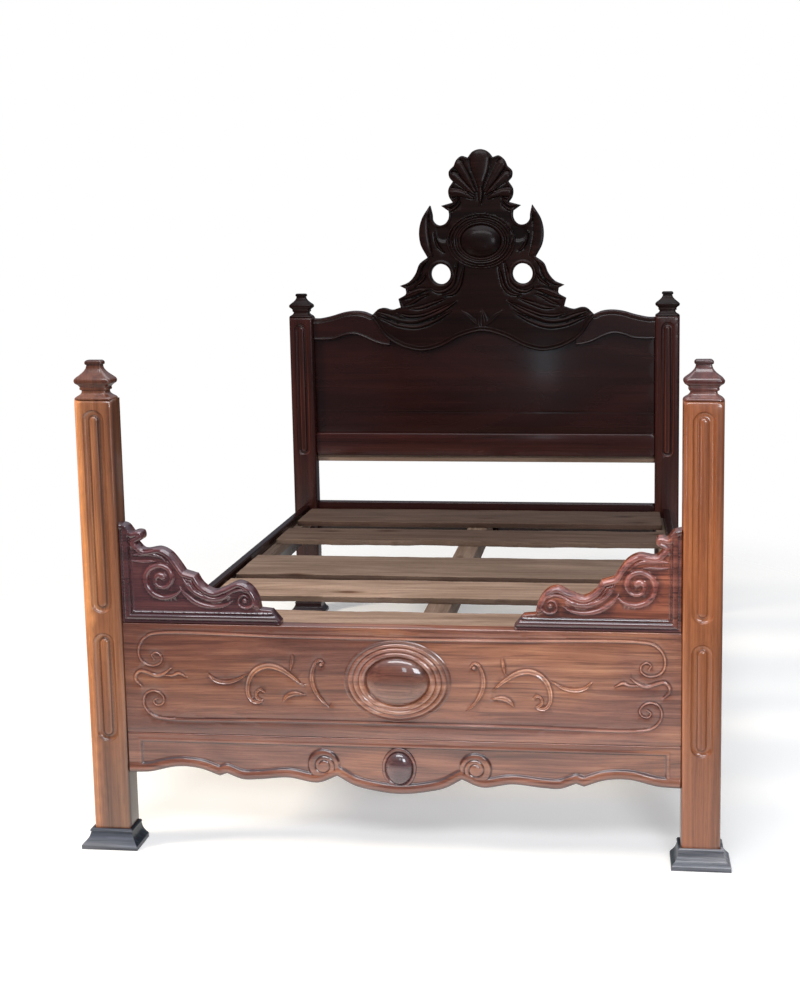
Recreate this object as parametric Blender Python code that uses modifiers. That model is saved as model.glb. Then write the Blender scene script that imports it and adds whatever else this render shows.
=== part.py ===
# Carved wooden bed: four fluted posts, carved footboard, pierced headboard crest, loose plank slats.
# Metres, +Z up, +X to the right seen from the foot end, +Y from foot to head.
# The origin is on the floor, under the middle of the bed.
import math

import bmesh
import bpy
from mathutils import Matrix, Vector

# Stance of the four posts
POST_SPACING = 1.580           # across the bed, centre to centre
END_SPACING = 2.080            # front of the foot posts to front of the head posts
POST_WIDTH = 0.102
POST_DEPTH = 0.056
FOOT_POST_HEIGHT = 1.221
HEAD_POST_HEIGHT = 1.315
SEAT_GAP = 0.0003              # between pieces that are glued, nailed or rest on each other

# Finials
FINIAL_HEIGHT = 0.102
FINIAL_DOWEL_DIAMETER = 0.022
FINIAL_DOWEL_LENGTH = 0.035

# Plinth mouldings
PLINTH_HEIGHT = 0.050
PLINTH_FLARE = 0.026
PLINTH_TOE = 0.012             # upright edge at the floor
PLINTH_LIP = 0.005             # thickness and height of the top fillet

# Flutes on the post fronts
FLUTE_RADIUS = 0.009           # gouge that cuts the groove
FLUTE_DEPTH = 0.006
FLUTE_HALF_SPAN = 0.016        # middle of the post to the middle of the groove
FLUTE_TOP_MARGIN = 0.026

# Footboard and apron
FOOTBOARD_TOP = 0.622
FOOTBOARD_HEIGHT = 0.302
FOOTBOARD_THICKNESS = 0.032
FOOTBOARD_SETBACK = 0.006      # behind the front of the posts
APRON_DEPTH = 0.152            # joint to the lowest point of the scallops
APRON_BORDER = 0.024           # frame round the apron's sunk field
APRON_SINK = 0.004
MEDALLION_HALF_WIDTH = 0.143
MEDALLION_HALF_HEIGHT = 0.111
MEDALLION_RELIEF = 0.024
MEDALLION_DROP = 0.143         # footboard top to the medallion's middle
APRON_BOSS_HALF_WIDTH = 0.046
APRON_BOSS_HALF_HEIGHT = 0.056
APRON_BOSS_RELIEF = 0.022
APRON_BOSS_DROP = 0.080
APRON_BOSS_SEAT = 0.005        # depth of the oval seat that the boss is glued in
APRON_BOSS_PLAY = 0.0005

# Brackets on the footboard
BRACKET_LENGTH = 0.430
BRACKET_HEIGHT = 0.271
BRACKET_THICKNESS = 0.026
BRACKET_SETBACK = 0.004        # behind the front of the footboard
BRACKET_BORDER = 0.026         # raised frame along the post and the footboard
BRACKET_BORDER_RELIEF = 0.004
BRACKET_BORDER_EDGE = 0.001    # frame to the edges of the bracket
BRACKET_BORDER_TOPS = (0.70, 0.78)    # inner and outer end of the upright border, share of the height
BRACKET_DOWEL_DIAMETER = 0.010
BRACKET_DOWEL_LENGTH = 0.036

# Mortise and tenon joints
TENON_LENGTH = 0.028
TENON_THICKNESS = 0.010
TENON_SHOULDER = 0.016

# Headboard
HEAD_BACK_MARGIN = 0.004       # back of the headboard to the back of the posts
HEAD_PANEL_THICKNESS = 0.018
HEAD_PANEL_HOUSING = 0.012     # depth of the panel's groove in the posts
HEAD_PANEL_TOP_DROP = 0.045    # below the shoulder of the head posts
HEAD_LAP = 0.016               # panel behind the lower rail
LOWER_RAIL_BOTTOM = 0.709
LOWER_RAIL_HEIGHT = 0.097
LOWER_RAIL_THICKNESS = 0.034
TOP_RAIL_THICKNESS = 0.034
TOP_RAIL_DEPTH = 0.136         # lowest point of the band to its highest
TOP_RAIL_DROP = 0.110          # post shoulder to the lowest point of the band
TOP_RAIL_TENON_HEIGHT = 0.024
CREST_HALF_WIDTH = 0.479
CREST_HEIGHT = 0.856
CREST_DROP = 0.149             # post shoulder to the lowest point of the swags
CREST_THICKNESS = 0.038
CREST_PIERCING_RADIUS = 0.043
CREST_BOSS_HALF_WIDTH = 0.122
CREST_BOSS_HALF_HEIGHT = 0.098
CREST_BOSS_RELIEF = 0.024
SHELL_RELIEF = 0.012
SHELL_LOBE_HALF_WIDTH = 0.024
HORN_RELIEF = 0.014
CARVING_SINK = 0.003           # middle of the raised carving behind the crest's front
BATTEN_HEIGHT = 0.068
BATTEN_THICKNESS = 0.014
BATTEN_SHOW = 0.030            # part that hangs below the lower rail

# Side rails, slats and what carries them
RAIL_TOP = 0.486
RAIL_HEIGHT = 0.145
RAIL_THICKNESS = 0.028
RAIL_INSET = 0.040             # behind the outer face of the posts
CROSS_RAIL_RISE = 0.016        # above the side rails
CROSS_RAIL_HEIGHT = 0.150
CROSS_RAIL_THICKNESS = 0.030
CROSS_RAIL_SETBACK = 0.012
SLAT_DROP = 0.010              # slat tops below the rail tops
SLAT_THICKNESS = 0.022
SLAT_END_GAP = 0.013
SLAT_WIDTHS = (0.150, 0.260, 0.201, 0.265, 0.203, 0.253)    # foot to head
SLAT_GAP_SHARES = (0.026, 0.189, 0.215, 0.071, 0.335, 0.158, 0.006)
LEDGER_WIDTH = 0.035
LEDGER_HEIGHT = 0.035
LEDGER_END_GAP = 0.030
BEAM_WIDTH = 0.080
BEAM_HEIGHT = 0.070
BEAM_END_GAP = 0.010
CLEAT_LENGTH = 0.120
CLEAT_HEIGHT = 0.040
CLEAT_DEPTH = 0.045

# Knock-down fittings of the side rails
PLATE_HEIGHT = 0.110
PLATE_WIDTH = 0.018
PLATE_THICKNESS = 0.003
HOOK_THICKNESS = 0.005
HOOK_REACH = 0.009
HOOK_NECK = 0.012
HOOK_DROP = 0.008
HOOK_SPACING = 0.056
HOOK_PLAY = 0.001

# Fineness of round forms
CURVE_STEPS = 4
TURNING_STEPS = 32
DOWEL_SIDES = 16
FINIAL_SIDES = 4
FLUTE_TURN_STEPS = 8
HOLLOW_STEPS = 6
BEVEL_STEPS = 2
LOBE_SIDES = 12
LOBE_RING_STEPS = 8

# Shares of height above the shoulder and of half the post's width, top to bottom
FINIAL_PROFILE = (
    (1.00, 0.36), (0.98, 0.43), (0.91, 0.43), (0.89, 0.37), (0.78, 0.42), (0.68, 0.60), (0.59, 0.80),
    (0.50, 0.93), (0.45, 0.93), (0.36, 0.78), (0.33, 0.70), (0.27, 0.70), (0.25, 0.61), (0.19, 0.62),
    (0.12, 0.72), (0.06, 0.90), (0.03, 0.99),
)

# Shares of the outer radius and of the relief, middle to edge
OVAL_PROFILE = (
    (0.00, 1.00), (0.14, 0.98), (0.28, 0.90), (0.40, 0.76), (0.49, 0.56), (0.55, 0.32), (0.58, 0.12),
    (0.62, 0.12), (0.66, 0.34), (0.70, 0.34), (0.74, 0.14), (0.78, 0.14), (0.82, 0.30), (0.86, 0.30),
    (0.89, 0.12), (0.92, 0.12), (0.96, 0.22), (1.00, 0.10),
)

# Half outlines: share of half width, share of depth or height, and the kind of knot
APRON_OUTLINE = (
    (0.000, 1.00, "round"), (0.075, 0.967, "round"), (0.164, 0.868, "round"), (0.226, 0.704, "corner"),
    (0.298, 0.836, "round"), (0.406, 0.763, "round"), (0.514, 0.809, "round"), (0.575, 0.816, "round"),
    (0.633, 0.716, "corner"), (0.660, 0.763, "corner"), (0.737, 0.638, "round"), (0.819, 0.618, "round"),
    (0.920, 0.724, "round"), (1.000, 0.743, "corner"),
)
CREST_OUTLINE = (
    (0.000, 0.098, "round"), (0.198, 0.071, "round"), (0.378, 0.021, "round"), (0.539, 0.000, "round"),
    (0.691, 0.014, "round"), (0.804, 0.040, "corner"), (0.877, 0.023, "round"), (1.000, 0.037, "corner"),
    (1.000, 0.182, "corner"), (0.933, 0.215, "round"), (0.887, 0.218, "round"), (0.820, 0.209, "round"),
    (0.735, 0.222, "corner"), (0.754, 0.264, "corner"), (0.685, 0.289, "round"), (0.687, 0.314, "corner"),
    (0.739, 0.329, "corner"), (0.653, 0.350, "round"), (0.595, 0.389, "round"), (0.557, 0.438, "round"),
    (0.484, 0.470, "corner"), (0.544, 0.535, "round"), (0.556, 0.600, "round"), (0.530, 0.661, "round"),
    (0.457, 0.727, "corner"), (0.432, 0.676, "round"), (0.359, 0.637, "round"), (0.284, 0.668, "round"),
    (0.288, 0.699, "corner"), (0.355, 0.725, "corner"), (0.250, 0.741, "corner"), (0.282, 0.770, "round"),
    (0.286, 0.806, "round"), (0.246, 0.843, "corner"), (0.276, 0.864, "round"), (0.280, 0.893, "round"),
    (0.236, 0.920, "corner"), (0.212, 0.949, "round"), (0.165, 0.968, "round"), (0.111, 0.960, "corner"),
    (0.066, 0.989, "round"), (0.000, 1.000, "round"),
)
CREST_PIERCING = (0.367, 0.387)
CREST_BOSS_PLACE = 0.549       # share of the crest's height
SHELL_ROOT = 0.745
SHELL_TIPS = ((0.000, 0.985), (0.135, 0.945), (0.215, 0.890), (0.220, 0.805))
HORN_SPINE = ((0.455, 0.488, 0.15), (0.500, 0.560, 1.0), (0.507, 0.620, 0.9), (0.470, 0.690, 0.15))

# Band outline between the crest and the post: share of the band's length and of its depth
TOP_RAIL_OUTLINE = (
    (0.000, 0.00, "corner"), (0.080, 0.11, "round"), (0.310, 0.255, "round"), (0.470, 0.215, "round"),
    (0.640, 0.105, "round"), (0.800, 0.08, "round"), (1.000, 0.08, "corner"), (1.000, 0.765, "corner"),
    (0.900, 0.765, "round"), (0.700, 0.84, "round"), (0.465, 0.965, "round"), (0.290, 1.00, "round"),
    (0.130, 0.965, "round"), (0.000, 0.862, "corner"),
)

# Bracket outline: share of its length from the post, share of its height above the footboard
BRACKET_OUTLINE = (
    (0.000, 0.000, "corner"), (1.000, 0.000, "corner"), (1.000, 0.037, "corner"), (0.944, 0.144, "corner"),
    (0.872, 0.155, "corner"), (0.858, 0.262, "round"), (0.814, 0.373, "round"), (0.742, 0.424, "round"),
    (0.647, 0.362, "round"), (0.581, 0.332, "round"), (0.514, 0.391, "round"), (0.475, 0.487, "corner"),
    (0.402, 0.520, "corner"), (0.365, 0.609, "round"), (0.314, 0.705, "round"), (0.250, 0.753, "round"),
    (0.150, 0.738, "round"), (0.107, 0.801, "corner"), (0.152, 0.845, "round"), (0.147, 0.912, "round"),
    (0.112, 0.922, "round"), (0.084, 0.908, "corner"), (0.049, 0.978, "round"), (0.000, 1.000, "corner"),
)
BRACKET_DOWEL_PLACES = (0.22, 0.70)

# Levels and planes that follow from the sizes above
FOOT_FACE = PLINTH_FLARE - (END_SPACING + POST_DEPTH + PLINTH_FLARE) / 2
HEAD_FACE = FOOT_FACE + END_SPACING
INNER_FACE = (POST_SPACING - POST_WIDTH) / 2
RAIL_OUTER = (POST_SPACING + POST_WIDTH) / 2 - RAIL_INSET
RAIL_INNER = RAIL_OUTER - RAIL_THICKNESS
RAIL_MIDDLE = RAIL_OUTER - RAIL_THICKNESS / 2
RAIL_BOTTOM = RAIL_TOP - RAIL_HEIGHT
FOOTBOARD_FRONT = FOOT_FACE + FOOTBOARD_SETBACK
FOOTBOARD_BACK = FOOTBOARD_FRONT + FOOTBOARD_THICKNESS
FOOTBOARD_BOTTOM = FOOTBOARD_TOP - FOOTBOARD_HEIGHT
HEAD_BACK = HEAD_FACE + POST_DEPTH - HEAD_BACK_MARGIN
HEAD_PANEL_FRONT = HEAD_BACK - HEAD_PANEL_THICKNESS
HEAD_PANEL_BOTTOM = LOWER_RAIL_BOTTOM + LOWER_RAIL_HEIGHT - HEAD_LAP
HEAD_PANEL_TOP = HEAD_POST_HEIGHT - HEAD_PANEL_TOP_DROP
TOP_RAIL_BOTTOM = HEAD_POST_HEIGHT - TOP_RAIL_DROP
CREST_BOTTOM = HEAD_POST_HEIGHT - CREST_DROP
CREST_FRONT = HEAD_BACK - CREST_THICKNESS
CROSS_RAIL_FRONT = HEAD_FACE + CROSS_RAIL_SETBACK
SLAT_TOP = RAIL_TOP - SLAT_DROP
SLAT_BOTTOM = SLAT_TOP - SLAT_THICKNESS
BEAM_BOTTOM = SLAT_BOTTOM - BEAM_HEIGHT
PLATE_MIDDLE = RAIL_TOP - RAIL_HEIGHT / 2
SIDES = (("left", -1), ("right", 1))
CUT_PAST = 0.010               # cutters reach this far past an open face

for old in list(bpy.data.objects):
    bpy.data.objects.remove(old, do_unlink=True)

bed = bpy.data.collections.new("carved_bed")
cutters = bpy.data.collections.new("carved_bed_cutters")
bpy.context.scene.collection.children.link(bed)
bpy.context.scene.collection.children.link(cutters)
bed_centre = bpy.data.objects.new("bed_centre", None)
bed.objects.link(bed_centre)


def make_material(name, colour, roughness, metallic=0.0):
    material = bpy.data.materials.new(name)
    material.use_nodes = True
    shader = material.node_tree.nodes["Principled BSDF"]
    shader.inputs["Base Color"].default_value = (*colour, 1.0)
    shader.inputs["Roughness"].default_value = roughness
    shader.inputs["Metallic"].default_value = metallic
    return material


honey_wood = make_material("honey_wood", (0.36, 0.14, 0.06), 0.35)
red_wood = make_material("red_wood", (0.16, 0.05, 0.035), 0.30)
dark_wood = make_material("dark_wood", (0.035, 0.012, 0.010), 0.28)
raw_wood = make_material("raw_wood", (0.22, 0.15, 0.11), 0.80)
steel = make_material("steel", (0.35, 0.35, 0.36), 0.45, 1.0)
end_wood = {"foot": honey_wood, "head": dark_wood}


def finish_mesh(bm, name):
    bmesh.ops.remove_doubles(bm, verts=bm.verts, dist=1e-6)
    bmesh.ops.recalc_face_normals(bm, faces=bm.faces)
    mesh = bpy.data.meshes.new(name)
    bm.to_mesh(mesh)
    bm.free()
    return mesh


def add_piece(name, mesh, material, place=(0, 0, 0)):
    piece = bpy.data.objects.new(name, mesh)
    mesh.materials.append(material)
    piece.location = place
    piece.parent = bed_centre
    bed.objects.link(piece)
    return piece


def add_cutter(name, mesh, place=(0, 0, 0)):
    cutter = bpy.data.objects.new(name, mesh)
    cutter.location = place
    cutter.hide_render = True
    cutter.display_type = "WIRE"
    cutters.objects.link(cutter)
    return cutter


def combine(piece, cutter, operation="DIFFERENCE"):
    step = piece.modifiers.new(cutter.name, "BOOLEAN")
    step.operation = operation
    step.solver = "EXACT"
    step.object = cutter


def box_mesh(name, size):
    bm = bmesh.new()
    bmesh.ops.create_cube(bm, size=1.0, matrix=Matrix.Diagonal((*size, 1.0)))
    return finish_mesh(bm, name)


def box_between(low, high):
    size = [top - bottom for bottom, top in zip(low, high)]
    place = [(top + bottom) / 2 for bottom, top in zip(low, high)]
    return size, place


def ordered(low, high):
    return [min(pair) for pair in zip(low, high)], [max(pair) for pair in zip(low, high)]


def add_board(name, material, low, high):
    size, place = box_between(*ordered(low, high))
    return add_piece(name, box_mesh(name, size), material, place)


def cut_box(piece, name, low, high):
    size, place = box_between(*ordered(low, high))
    combine(piece, add_cutter(name, box_mesh(name, size), place))


def join_box(piece, name, low, high):
    size, place = box_between(*ordered(low, high))
    combine(piece, add_cutter(name, box_mesh(name, size), place), "UNION")


def rod_mesh(name, diameter, length, sides=DOWEL_SIDES):
    bm = bmesh.new()
    bmesh.ops.create_cone(bm, cap_ends=True, segments=sides, radius1=diameter / 2,
                          radius2=diameter / 2, depth=length)
    return finish_mesh(bm, name)


def evaluated_mesh(source, name):
    graph = bpy.context.evaluated_depsgraph_get()
    mesh = bpy.data.meshes.new_from_object(source.evaluated_get(graph))
    bm = bmesh.new()
    bm.from_mesh(mesh)
    bpy.data.meshes.remove(mesh)
    bpy.data.objects.remove(source, do_unlink=True)
    return finish_mesh(bm, name)


def add_loop(curve, knots):
    spline = curve.splines.new("BEZIER")
    spline.bezier_points.add(len(knots) - 1)
    for point, (across, up, kind) in zip(spline.bezier_points, knots):
        point.co = (across, up, 0.0)
        handle = "AUTO" if kind == "round" else "VECTOR"
        point.handle_left_type = handle
        point.handle_right_type = handle
    spline.use_cyclic_u = True


def circle_knots(centre, radius):
    quarter = math.pi / 2
    return [(centre[0] + radius * math.cos(k * quarter),
             centre[1] + radius * math.sin(k * quarter), "round") for k in range(4)]


def outline_mesh(name, loops, thickness):
    # A flat outline in the XZ plane, half of the thickness to each side of it
    curve = bpy.data.curves.new(name, "CURVE")
    curve.dimensions = "2D"
    curve.fill_mode = "BOTH"
    curve.extrude = thickness / 2
    curve.resolution_u = CURVE_STEPS
    curve.render_resolution_u = CURVE_STEPS
    for knots in loops:
        add_loop(curve, knots)
    flat = bpy.data.objects.new(name, curve)
    cutters.objects.link(flat)
    mesh = evaluated_mesh(flat, name)
    mesh.transform(Matrix.Rotation(math.pi / 2, 4, "X"))
    return mesh


def both_halves(half):
    return list(half) + [(-across, up, kind) for across, up, kind in reversed(half[1:-1])]


def scaled(outline, across_size, up_size, across_start=0.0, up_start=0.0):
    return [(across_start + across * across_size, up_start + up * up_size, kind)
            for across, up, kind in outline]


def turned_mesh(name, profile, steps):
    # Profile points are radius and height, from the top of the axis down the outer side
    mesh = bpy.data.meshes.new(name)
    mesh.from_pydata([(radius, 0.0, height) for radius, height in profile],
                     [(k, k + 1) for k in range(len(profile) - 1)], [])
    source = bpy.data.objects.new(name, mesh)
    cutters.objects.link(source)
    screw = source.modifiers.new("turning", "SCREW")
    screw.steps = steps
    screw.render_steps = steps
    screw.use_merge_vertices = True
    screw.merge_threshold = 0.00001
    return evaluated_mesh(source, name)


def add_tenon(piece, name, side, face, low, high):
    # Tongue past the shoulder at the given face; low and high are (y, z)
    inside = face - side * CUT_PAST
    tip = face + side * TENON_LENGTH
    join_box(piece, name, (inside, *low), (tip, *high))


def cut_mortise(post, name, side, face, low, high, length=TENON_LENGTH):
    outside = face - side * CUT_PAST
    end = face + side * (length + SEAT_GAP)
    cut_box(post, name, (outside, low[0] - SEAT_GAP, low[1] - SEAT_GAP),
            (end, high[0] + SEAT_GAP, high[1] + SEAT_GAP))


def tenon_span(front, back, bottom, top):
    # The tenon stands in the middle of the board's thickness, inside its shoulders
    middle = (front + back) / 2
    low = (middle - TENON_THICKNESS / 2, bottom + TENON_SHOULDER)
    high = (middle + TENON_THICKNESS / 2, top - TENON_SHOULDER)
    return low, high


def flute_cutter(name, x, face, bottom, top):
    # A gouge on a long loop with round ends leaves a rib standing in the middle
    curve = bpy.data.curves.new(name, "CURVE")
    curve.dimensions = "3D"
    curve.bevel_depth = FLUTE_RADIUS
    curve.bevel_resolution = BEVEL_STEPS
    spline = curve.splines.new("POLY")
    reach = FLUTE_HALF_SPAN
    points = []
    for centre, start in ((top - FLUTE_RADIUS - reach, 0.0), (bottom + FLUTE_RADIUS + reach, math.pi)):
        for k in range(FLUTE_TURN_STEPS + 1):
            angle = start + math.pi * k / FLUTE_TURN_STEPS
            points.append((x + reach * math.cos(angle), 0.0, centre + reach * math.sin(angle), 1.0))
    spline.points.add(len(points) - 1)
    for point, place in zip(spline.points, points):
        point.co = place
    spline.use_cyclic_u = True
    loop = bpy.data.objects.new(name, curve)
    cutters.objects.link(loop)
    mesh = evaluated_mesh(loop, name)
    return add_cutter(name, mesh, (0.0, face + FLUTE_DEPTH - FLUTE_RADIUS, 0.0))


# Joints of the boards: tenon spans shared by each board and its posts
FOOTBOARD_TENON = tenon_span(FOOTBOARD_FRONT, FOOTBOARD_BACK, FOOTBOARD_BOTTOM, FOOTBOARD_TOP)
APRON_END_DEPTH = APRON_DEPTH * APRON_OUTLINE[-1][1]
APRON_TENON = tenon_span(FOOTBOARD_FRONT, FOOTBOARD_BACK, FOOTBOARD_BOTTOM - APRON_END_DEPTH,
                         FOOTBOARD_BOTTOM)
LOWER_RAIL_FRONT = HEAD_BACK - LOWER_RAIL_THICKNESS
LOWER_RAIL_BACK = HEAD_BACK - BATTEN_THICKNESS - SEAT_GAP
LOWER_RAIL_TENON = tenon_span(LOWER_RAIL_FRONT, LOWER_RAIL_BACK, LOWER_RAIL_BOTTOM,
                              LOWER_RAIL_BOTTOM + LOWER_RAIL_HEIGHT)
CROSS_RAIL_BOTTOM = RAIL_TOP + CROSS_RAIL_RISE - CROSS_RAIL_HEIGHT
CROSS_RAIL_TENON = tenon_span(CROSS_RAIL_FRONT, CROSS_RAIL_FRONT + CROSS_RAIL_THICKNESS,
                              CROSS_RAIL_BOTTOM, RAIL_TOP + CROSS_RAIL_RISE)
TOP_RAIL_END_TOP = TOP_RAIL_BOTTOM + TOP_RAIL_DEPTH * TOP_RAIL_OUTLINE[7][1]
TOP_RAIL_TENON = ((HEAD_BACK - TOP_RAIL_THICKNESS / 2 - TENON_THICKNESS / 2,
                   TOP_RAIL_END_TOP - TENON_SHOULDER / 2 - TOP_RAIL_TENON_HEIGHT),
                  (HEAD_BACK - TOP_RAIL_THICKNESS / 2 + TENON_THICKNESS / 2,
                   TOP_RAIL_END_TOP - TENON_SHOULDER / 2))


def build_post(end, side_name, side, face, height, flutes):
    # One post, with its flutes, its finial's dowel hole and the seat of its strike plate
    x = side * POST_SPACING / 2
    name = f"{end}_post_{side_name}"
    post = add_piece(name, box_mesh(name, (POST_WIDTH, POST_DEPTH, height)), end_wood[end],
                     (x, face + POST_DEPTH / 2, height / 2))
    for number, (bottom, top) in enumerate(flutes):
        combine(post, flute_cutter(f"{name}_flute_{number}", x, face, bottom, top))
    hole_depth = FINIAL_DOWEL_LENGTH + SEAT_GAP
    hole = rod_mesh(f"{name}_dowel_hole", FINIAL_DOWEL_DIAMETER + 2 * SEAT_GAP, hole_depth + CUT_PAST)
    combine(post, add_cutter(f"{name}_dowel_hole", hole,
                             (x, face + POST_DEPTH / 2, height + (CUT_PAST - hole_depth) / 2)))
    rail_face = face + POST_DEPTH if end == "foot" else face
    inward = -1 if end == "foot" else 1
    cut_box(post, f"{name}_plate_seat",
            (side * RAIL_MIDDLE - PLATE_WIDTH / 2 - SEAT_GAP, rail_face - inward * CUT_PAST,
             PLATE_MIDDLE - PLATE_HEIGHT / 2 - SEAT_GAP),
            (side * RAIL_MIDDLE + PLATE_WIDTH / 2 + SEAT_GAP,
             rail_face + inward * (PLATE_THICKNESS + SEAT_GAP),
             PLATE_MIDDLE + PLATE_HEIGHT / 2 + SEAT_GAP))
    pocket_half = HOOK_THICKNESS / 2 + HOOK_PLAY
    cut_box(post, f"{name}_hook_pocket",
            (side * RAIL_MIDDLE - pocket_half, rail_face,
             PLATE_MIDDLE - HOOK_SPACING / 2 - HOOK_NECK / 2 - HOOK_DROP - HOOK_PLAY),
            (side * RAIL_MIDDLE + pocket_half,
             rail_face + inward * (PLATE_THICKNESS + HOOK_REACH + 2 * HOOK_PLAY),
             PLATE_MIDDLE + HOOK_SPACING / 2 + HOOK_NECK / 2 + HOOK_PLAY))
    return post


def build_finial(end, side_name, side, face, height):
    # Four-sided turning squeezed to the post's section, on a round dowel
    name = f"{end}_finial_{side_name}"
    corner = POST_WIDTH / 2 * math.sqrt(2)
    profile = [(0.0, FINIAL_HEIGHT)]
    profile += [(share * corner, level * FINIAL_HEIGHT) for level, share in FINIAL_PROFILE]
    profile += [(corner, 0.0), (0.0, 0.0)]
    mesh = turned_mesh(name, profile, FINIAL_SIDES)
    squeeze = Matrix.Diagonal((1.0, POST_DEPTH / POST_WIDTH, 1.0, 1.0))
    mesh.transform(squeeze @ Matrix.Rotation(math.pi / 4, 4, "Z"))
    x = side * POST_SPACING / 2
    y = face + POST_DEPTH / 2
    finial = add_piece(name, mesh, end_wood[end], (x, y, height + SEAT_GAP))
    dowel = rod_mesh(f"{name}_dowel", FINIAL_DOWEL_DIAMETER, FINIAL_DOWEL_LENGTH + CUT_PAST)
    combine(finial, add_cutter(f"{name}_dowel", dowel,
                               (x, y, height + SEAT_GAP + (CUT_PAST - FINIAL_DOWEL_LENGTH) / 2)), "UNION")


def plinth_profile():
    # Outward distance and height: floor, upright toe, hollow cavetto, top fillet
    rise = PLINTH_HEIGHT - PLINTH_LIP - PLINTH_TOE
    hollow = []
    for k in range(HOLLOW_STEPS + 1):
        angle = math.pi / 2 * k / HOLLOW_STEPS
        hollow.append((PLINTH_FLARE - (PLINTH_FLARE - PLINTH_LIP) * math.sin(angle),
                       PLINTH_HEIGHT - PLINTH_LIP - rise * math.cos(angle)))
    return [(0.0, 0.0), (PLINTH_FLARE, 0.0)] + hollow + [(PLINTH_LIP, PLINTH_HEIGHT), (0.0, PLINTH_HEIGHT)]


def moulding_mesh(name, length, start_mitre, end_mitre):
    # The profile runs along +X with its outer side towards -Y; a mitre lengthens the outer side
    bm = bmesh.new()
    profile = plinth_profile()
    section = bm.faces.new([bm.verts.new((0.0, -out, up)) for out, up in profile])
    grown = bmesh.ops.extrude_face_region(bm, geom=[section])
    far = [item for item in grown["geom"] if isinstance(item, bmesh.types.BMVert)]
    near = [vert for vert in bm.verts if vert not in far]
    for vert in far:
        vert.co.x = length + end_mitre * -vert.co.y
    for vert in near:
        vert.co.x = start_mitre * vert.co.y
    return finish_mesh(bm, name)


def build_plinth(end, side_name, side, face):
    x = side * POST_SPACING / 2
    left_x = x - POST_WIDTH / 2
    right_x = x + POST_WIDTH / 2
    front = face - SEAT_GAP
    back = face + POST_DEPTH
    mitre_gap = SEAT_GAP / 2
    front_strip = moulding_mesh(f"{end}_plinth_{side_name}_front", POST_WIDTH - 2 * mitre_gap, 1, 1)
    add_piece(front_strip.name, front_strip, end_wood[end], (left_x + mitre_gap, front, 0.0))
    for hand, strip_x, turn in (("left", left_x - SEAT_GAP, -1), ("right", right_x + SEAT_GAP, 1)):
        part = "outer" if (turn == side) else "inner"
        name = f"{end}_plinth_{side_name}_{part}"
        length = back - face - mitre_gap
        if turn == 1:
            mesh = moulding_mesh(name, length, 1, 0)
            mesh.transform(Matrix.Rotation(math.pi / 2, 4, "Z"))
            add_piece(name, mesh, end_wood[end], (strip_x, face + mitre_gap, 0.0))
        else:
            mesh = moulding_mesh(name, length, 0, 1)
            mesh.transform(Matrix.Rotation(-math.pi / 2, 4, "Z"))
            add_piece(name, mesh, end_wood[end], (strip_x, back, 0.0))


def oval_mesh(name, half_width, half_height, relief):
    # Domed oval inside raised rings, facing the foot of the bed
    profile = [(radius, share * relief) for radius, share in OVAL_PROFILE]
    profile += [(1.0, 0.0), (0.0, 0.0)]
    mesh = turned_mesh(name, profile, TURNING_STEPS)
    size = Matrix.Diagonal((half_width, half_height, 1.0, 1.0))
    mesh.transform(Matrix.Rotation(math.pi / 2, 4, "X") @ size)
    return mesh


def build_footboard():
    name = "footboard_panel"
    reach = INNER_FACE - SEAT_GAP
    panel = add_board(name, red_wood, (-reach, FOOTBOARD_FRONT, FOOTBOARD_BOTTOM),
                      (reach, FOOTBOARD_BACK, FOOTBOARD_TOP))
    for side_name, side in SIDES:
        add_tenon(panel, f"{name}_tenon_{side_name}", side, side * reach, *FOOTBOARD_TENON)
    oval = oval_mesh("footboard_medallion", MEDALLION_HALF_WIDTH, MEDALLION_HALF_HEIGHT, MEDALLION_RELIEF)
    add_piece("footboard_medallion", oval, red_wood,
              (0.0, FOOTBOARD_FRONT - SEAT_GAP, FOOTBOARD_TOP - MEDALLION_DROP))
    return panel


def apron_knots(inset, end_inset):
    # Lower edge of the apron, raised by the inset, closed along a straight top
    reach = INNER_FACE - SEAT_GAP - end_inset
    lower = [(across * reach, FOOTBOARD_BOTTOM - SEAT_GAP - share * APRON_DEPTH + inset, kind)
             for across, share, kind in APRON_OUTLINE]
    mirrored = [(-across, up, kind) for across, up, kind in reversed(lower[1:])]
    top = FOOTBOARD_BOTTOM - SEAT_GAP - inset
    return mirrored + lower + [(reach, top, "corner"), (-reach, top, "corner")]


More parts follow.
